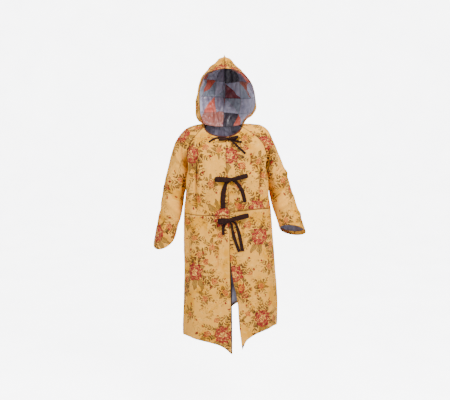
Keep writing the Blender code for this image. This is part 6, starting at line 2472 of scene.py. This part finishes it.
class COAT_OT_stage(bpy.types.Operator):
    """Set the pale backdrop, the studio lights and the camera"""
    bl_idname = "coat.stage"
    bl_label = "Stage"

    def execute(self, context):
        stage = context.scene.coat_stage
        add_backdrop()
        add_light("key", (1.3, -1.6, 1.6), (0.0, 0.0, -0.2), 1.0, stage.key_power)
        add_light("second_key", (-2.2, -1.5, 1.0), (0.0, 0.0, -0.2), 1.1, 0.46 * stage.key_power)
        add_light("fill_front", (-0.3, -3.6, 0.4), (0.0, 0.0, -0.1), 1.6, stage.fill_power)
        add_light("fill_top", (0.4, 0.6, 3.2), (0.0, 0.0, -0.2), 2.4, stage.fill_power)
        world = bpy.data.worlds.new("studio")
        world.use_nodes = True
        sky = world.node_tree.nodes["Background"]
        sky.inputs["Color"].default_value = (0.95, 0.96, 1.0, 1.0)
        sky.inputs["Strength"].default_value = stage.sky
        context.scene.world = world
        data = bpy.data.cameras.new("camera")
        data.lens = stage.lens
        data.sensor_width = 36.0
        data.clip_end = 50.0
        camera = bpy.data.objects.new("camera", data)
        camera.location = stage.camera_place
        pitch = math.atan2(0.40, 3.12)
        camera.rotation_euler = (math.pi / 2 - pitch, 0.0, 0.0)
        context.scene.collection.objects.link(camera)
        context.scene.camera = camera
        return {"FINISHED"}


# The floor's reach and level, and where its wall starts, how widely it bends and its top
FLOOR_REACH = 9.0
FLOOR_LEVEL = -1.52
WALL_START = 4.4
WALL_BEND = 1.8
WALL_TOP = 6.5


def add_backdrop():
    """A pale floor that curves up into a wall behind the coat."""
    profile = [(-FLOOR_REACH, FLOOR_LEVEL), (WALL_START, FLOOR_LEVEL)]
    for k in range(1, 17):
        turn = math.pi / 2 * k / 16
        profile.append((WALL_START + WALL_BEND * math.sin(turn),
                        FLOOR_LEVEL + WALL_BEND * (1 - math.cos(turn))))
    profile.append((WALL_START + WALL_BEND, WALL_TOP))
    points = []
    faces = []
    for k, (y, z) in enumerate(profile):
        points += [(-FLOOR_REACH, y, z), (FLOOR_REACH, y, z)]
        if k:
            faces.append((2 * k - 2, 2 * k - 1, 2 * k + 1, 2 * k))
    mesh = new_mesh("backdrop", points, faces)
    mesh.shade_smooth()
    mesh.materials.append(finishes()["backdrop"])
    floor = bpy.data.objects.new("backdrop", mesh)
    bpy.context.scene.collection.objects.link(floor)


def add_light(name, place, target, size, power):
    """A square studio light that is aimed at a point."""
    data = bpy.data.lights.new(name, "AREA")
    data.size = size
    data.energy = power
    light = bpy.data.objects.new(name, data)
    light.location = place
    aim = Vector(target) - Vector(place)
    light.rotation_euler = aim.to_track_quat("-Z", "Y").to_euler()
    bpy.context.scene.collection.objects.link(light)


class COAT_PT_panel(bpy.types.Panel):
    """The coat's settings and its steps, in the 3D view's sidebar"""
    bl_label = "Hooded tapestry coat"
    bl_idname = "COAT_PT_panel"
    bl_space_type = "VIEW_3D"
    bl_region_type = "UI"
    bl_category = "Coat"

    def draw(self, context):
        layout = self.layout
        for group in (context.scene.coat_cloth, context.scene.coat_stage):
            for name in group.__annotations__:
                layout.prop(group, name)
        for step in STEPS:
            layout.operator(step.bl_idname)


STEPS = (COAT_OT_tapestry, COAT_OT_linings, COAT_OT_edges, COAT_OT_bows, COAT_OT_stitches, COAT_OT_stage)
CLASSES = (CoatCloth, CoatStage) + STEPS + (COAT_PT_panel,)


def register():
    for item in CLASSES:
        bpy.utils.register_class(item)
    bpy.types.Scene.coat_cloth = PointerProperty(type=CoatCloth)
    bpy.types.Scene.coat_stage = PointerProperty(type=CoatStage)


def unregister():
    del bpy.types.Scene.coat_stage
    del bpy.types.Scene.coat_cloth
    for item in reversed(CLASSES):
        bpy.utils.unregister_class(item)


def main():
    """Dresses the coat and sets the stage."""
    register()
    bpy.ops.coat.tapestry()
    bpy.ops.coat.linings()
    bpy.ops.coat.edges()
    bpy.ops.coat.bows()
    bpy.ops.coat.stitches()
    bpy.ops.coat.stage()


if __name__ == "__main__":
    main()
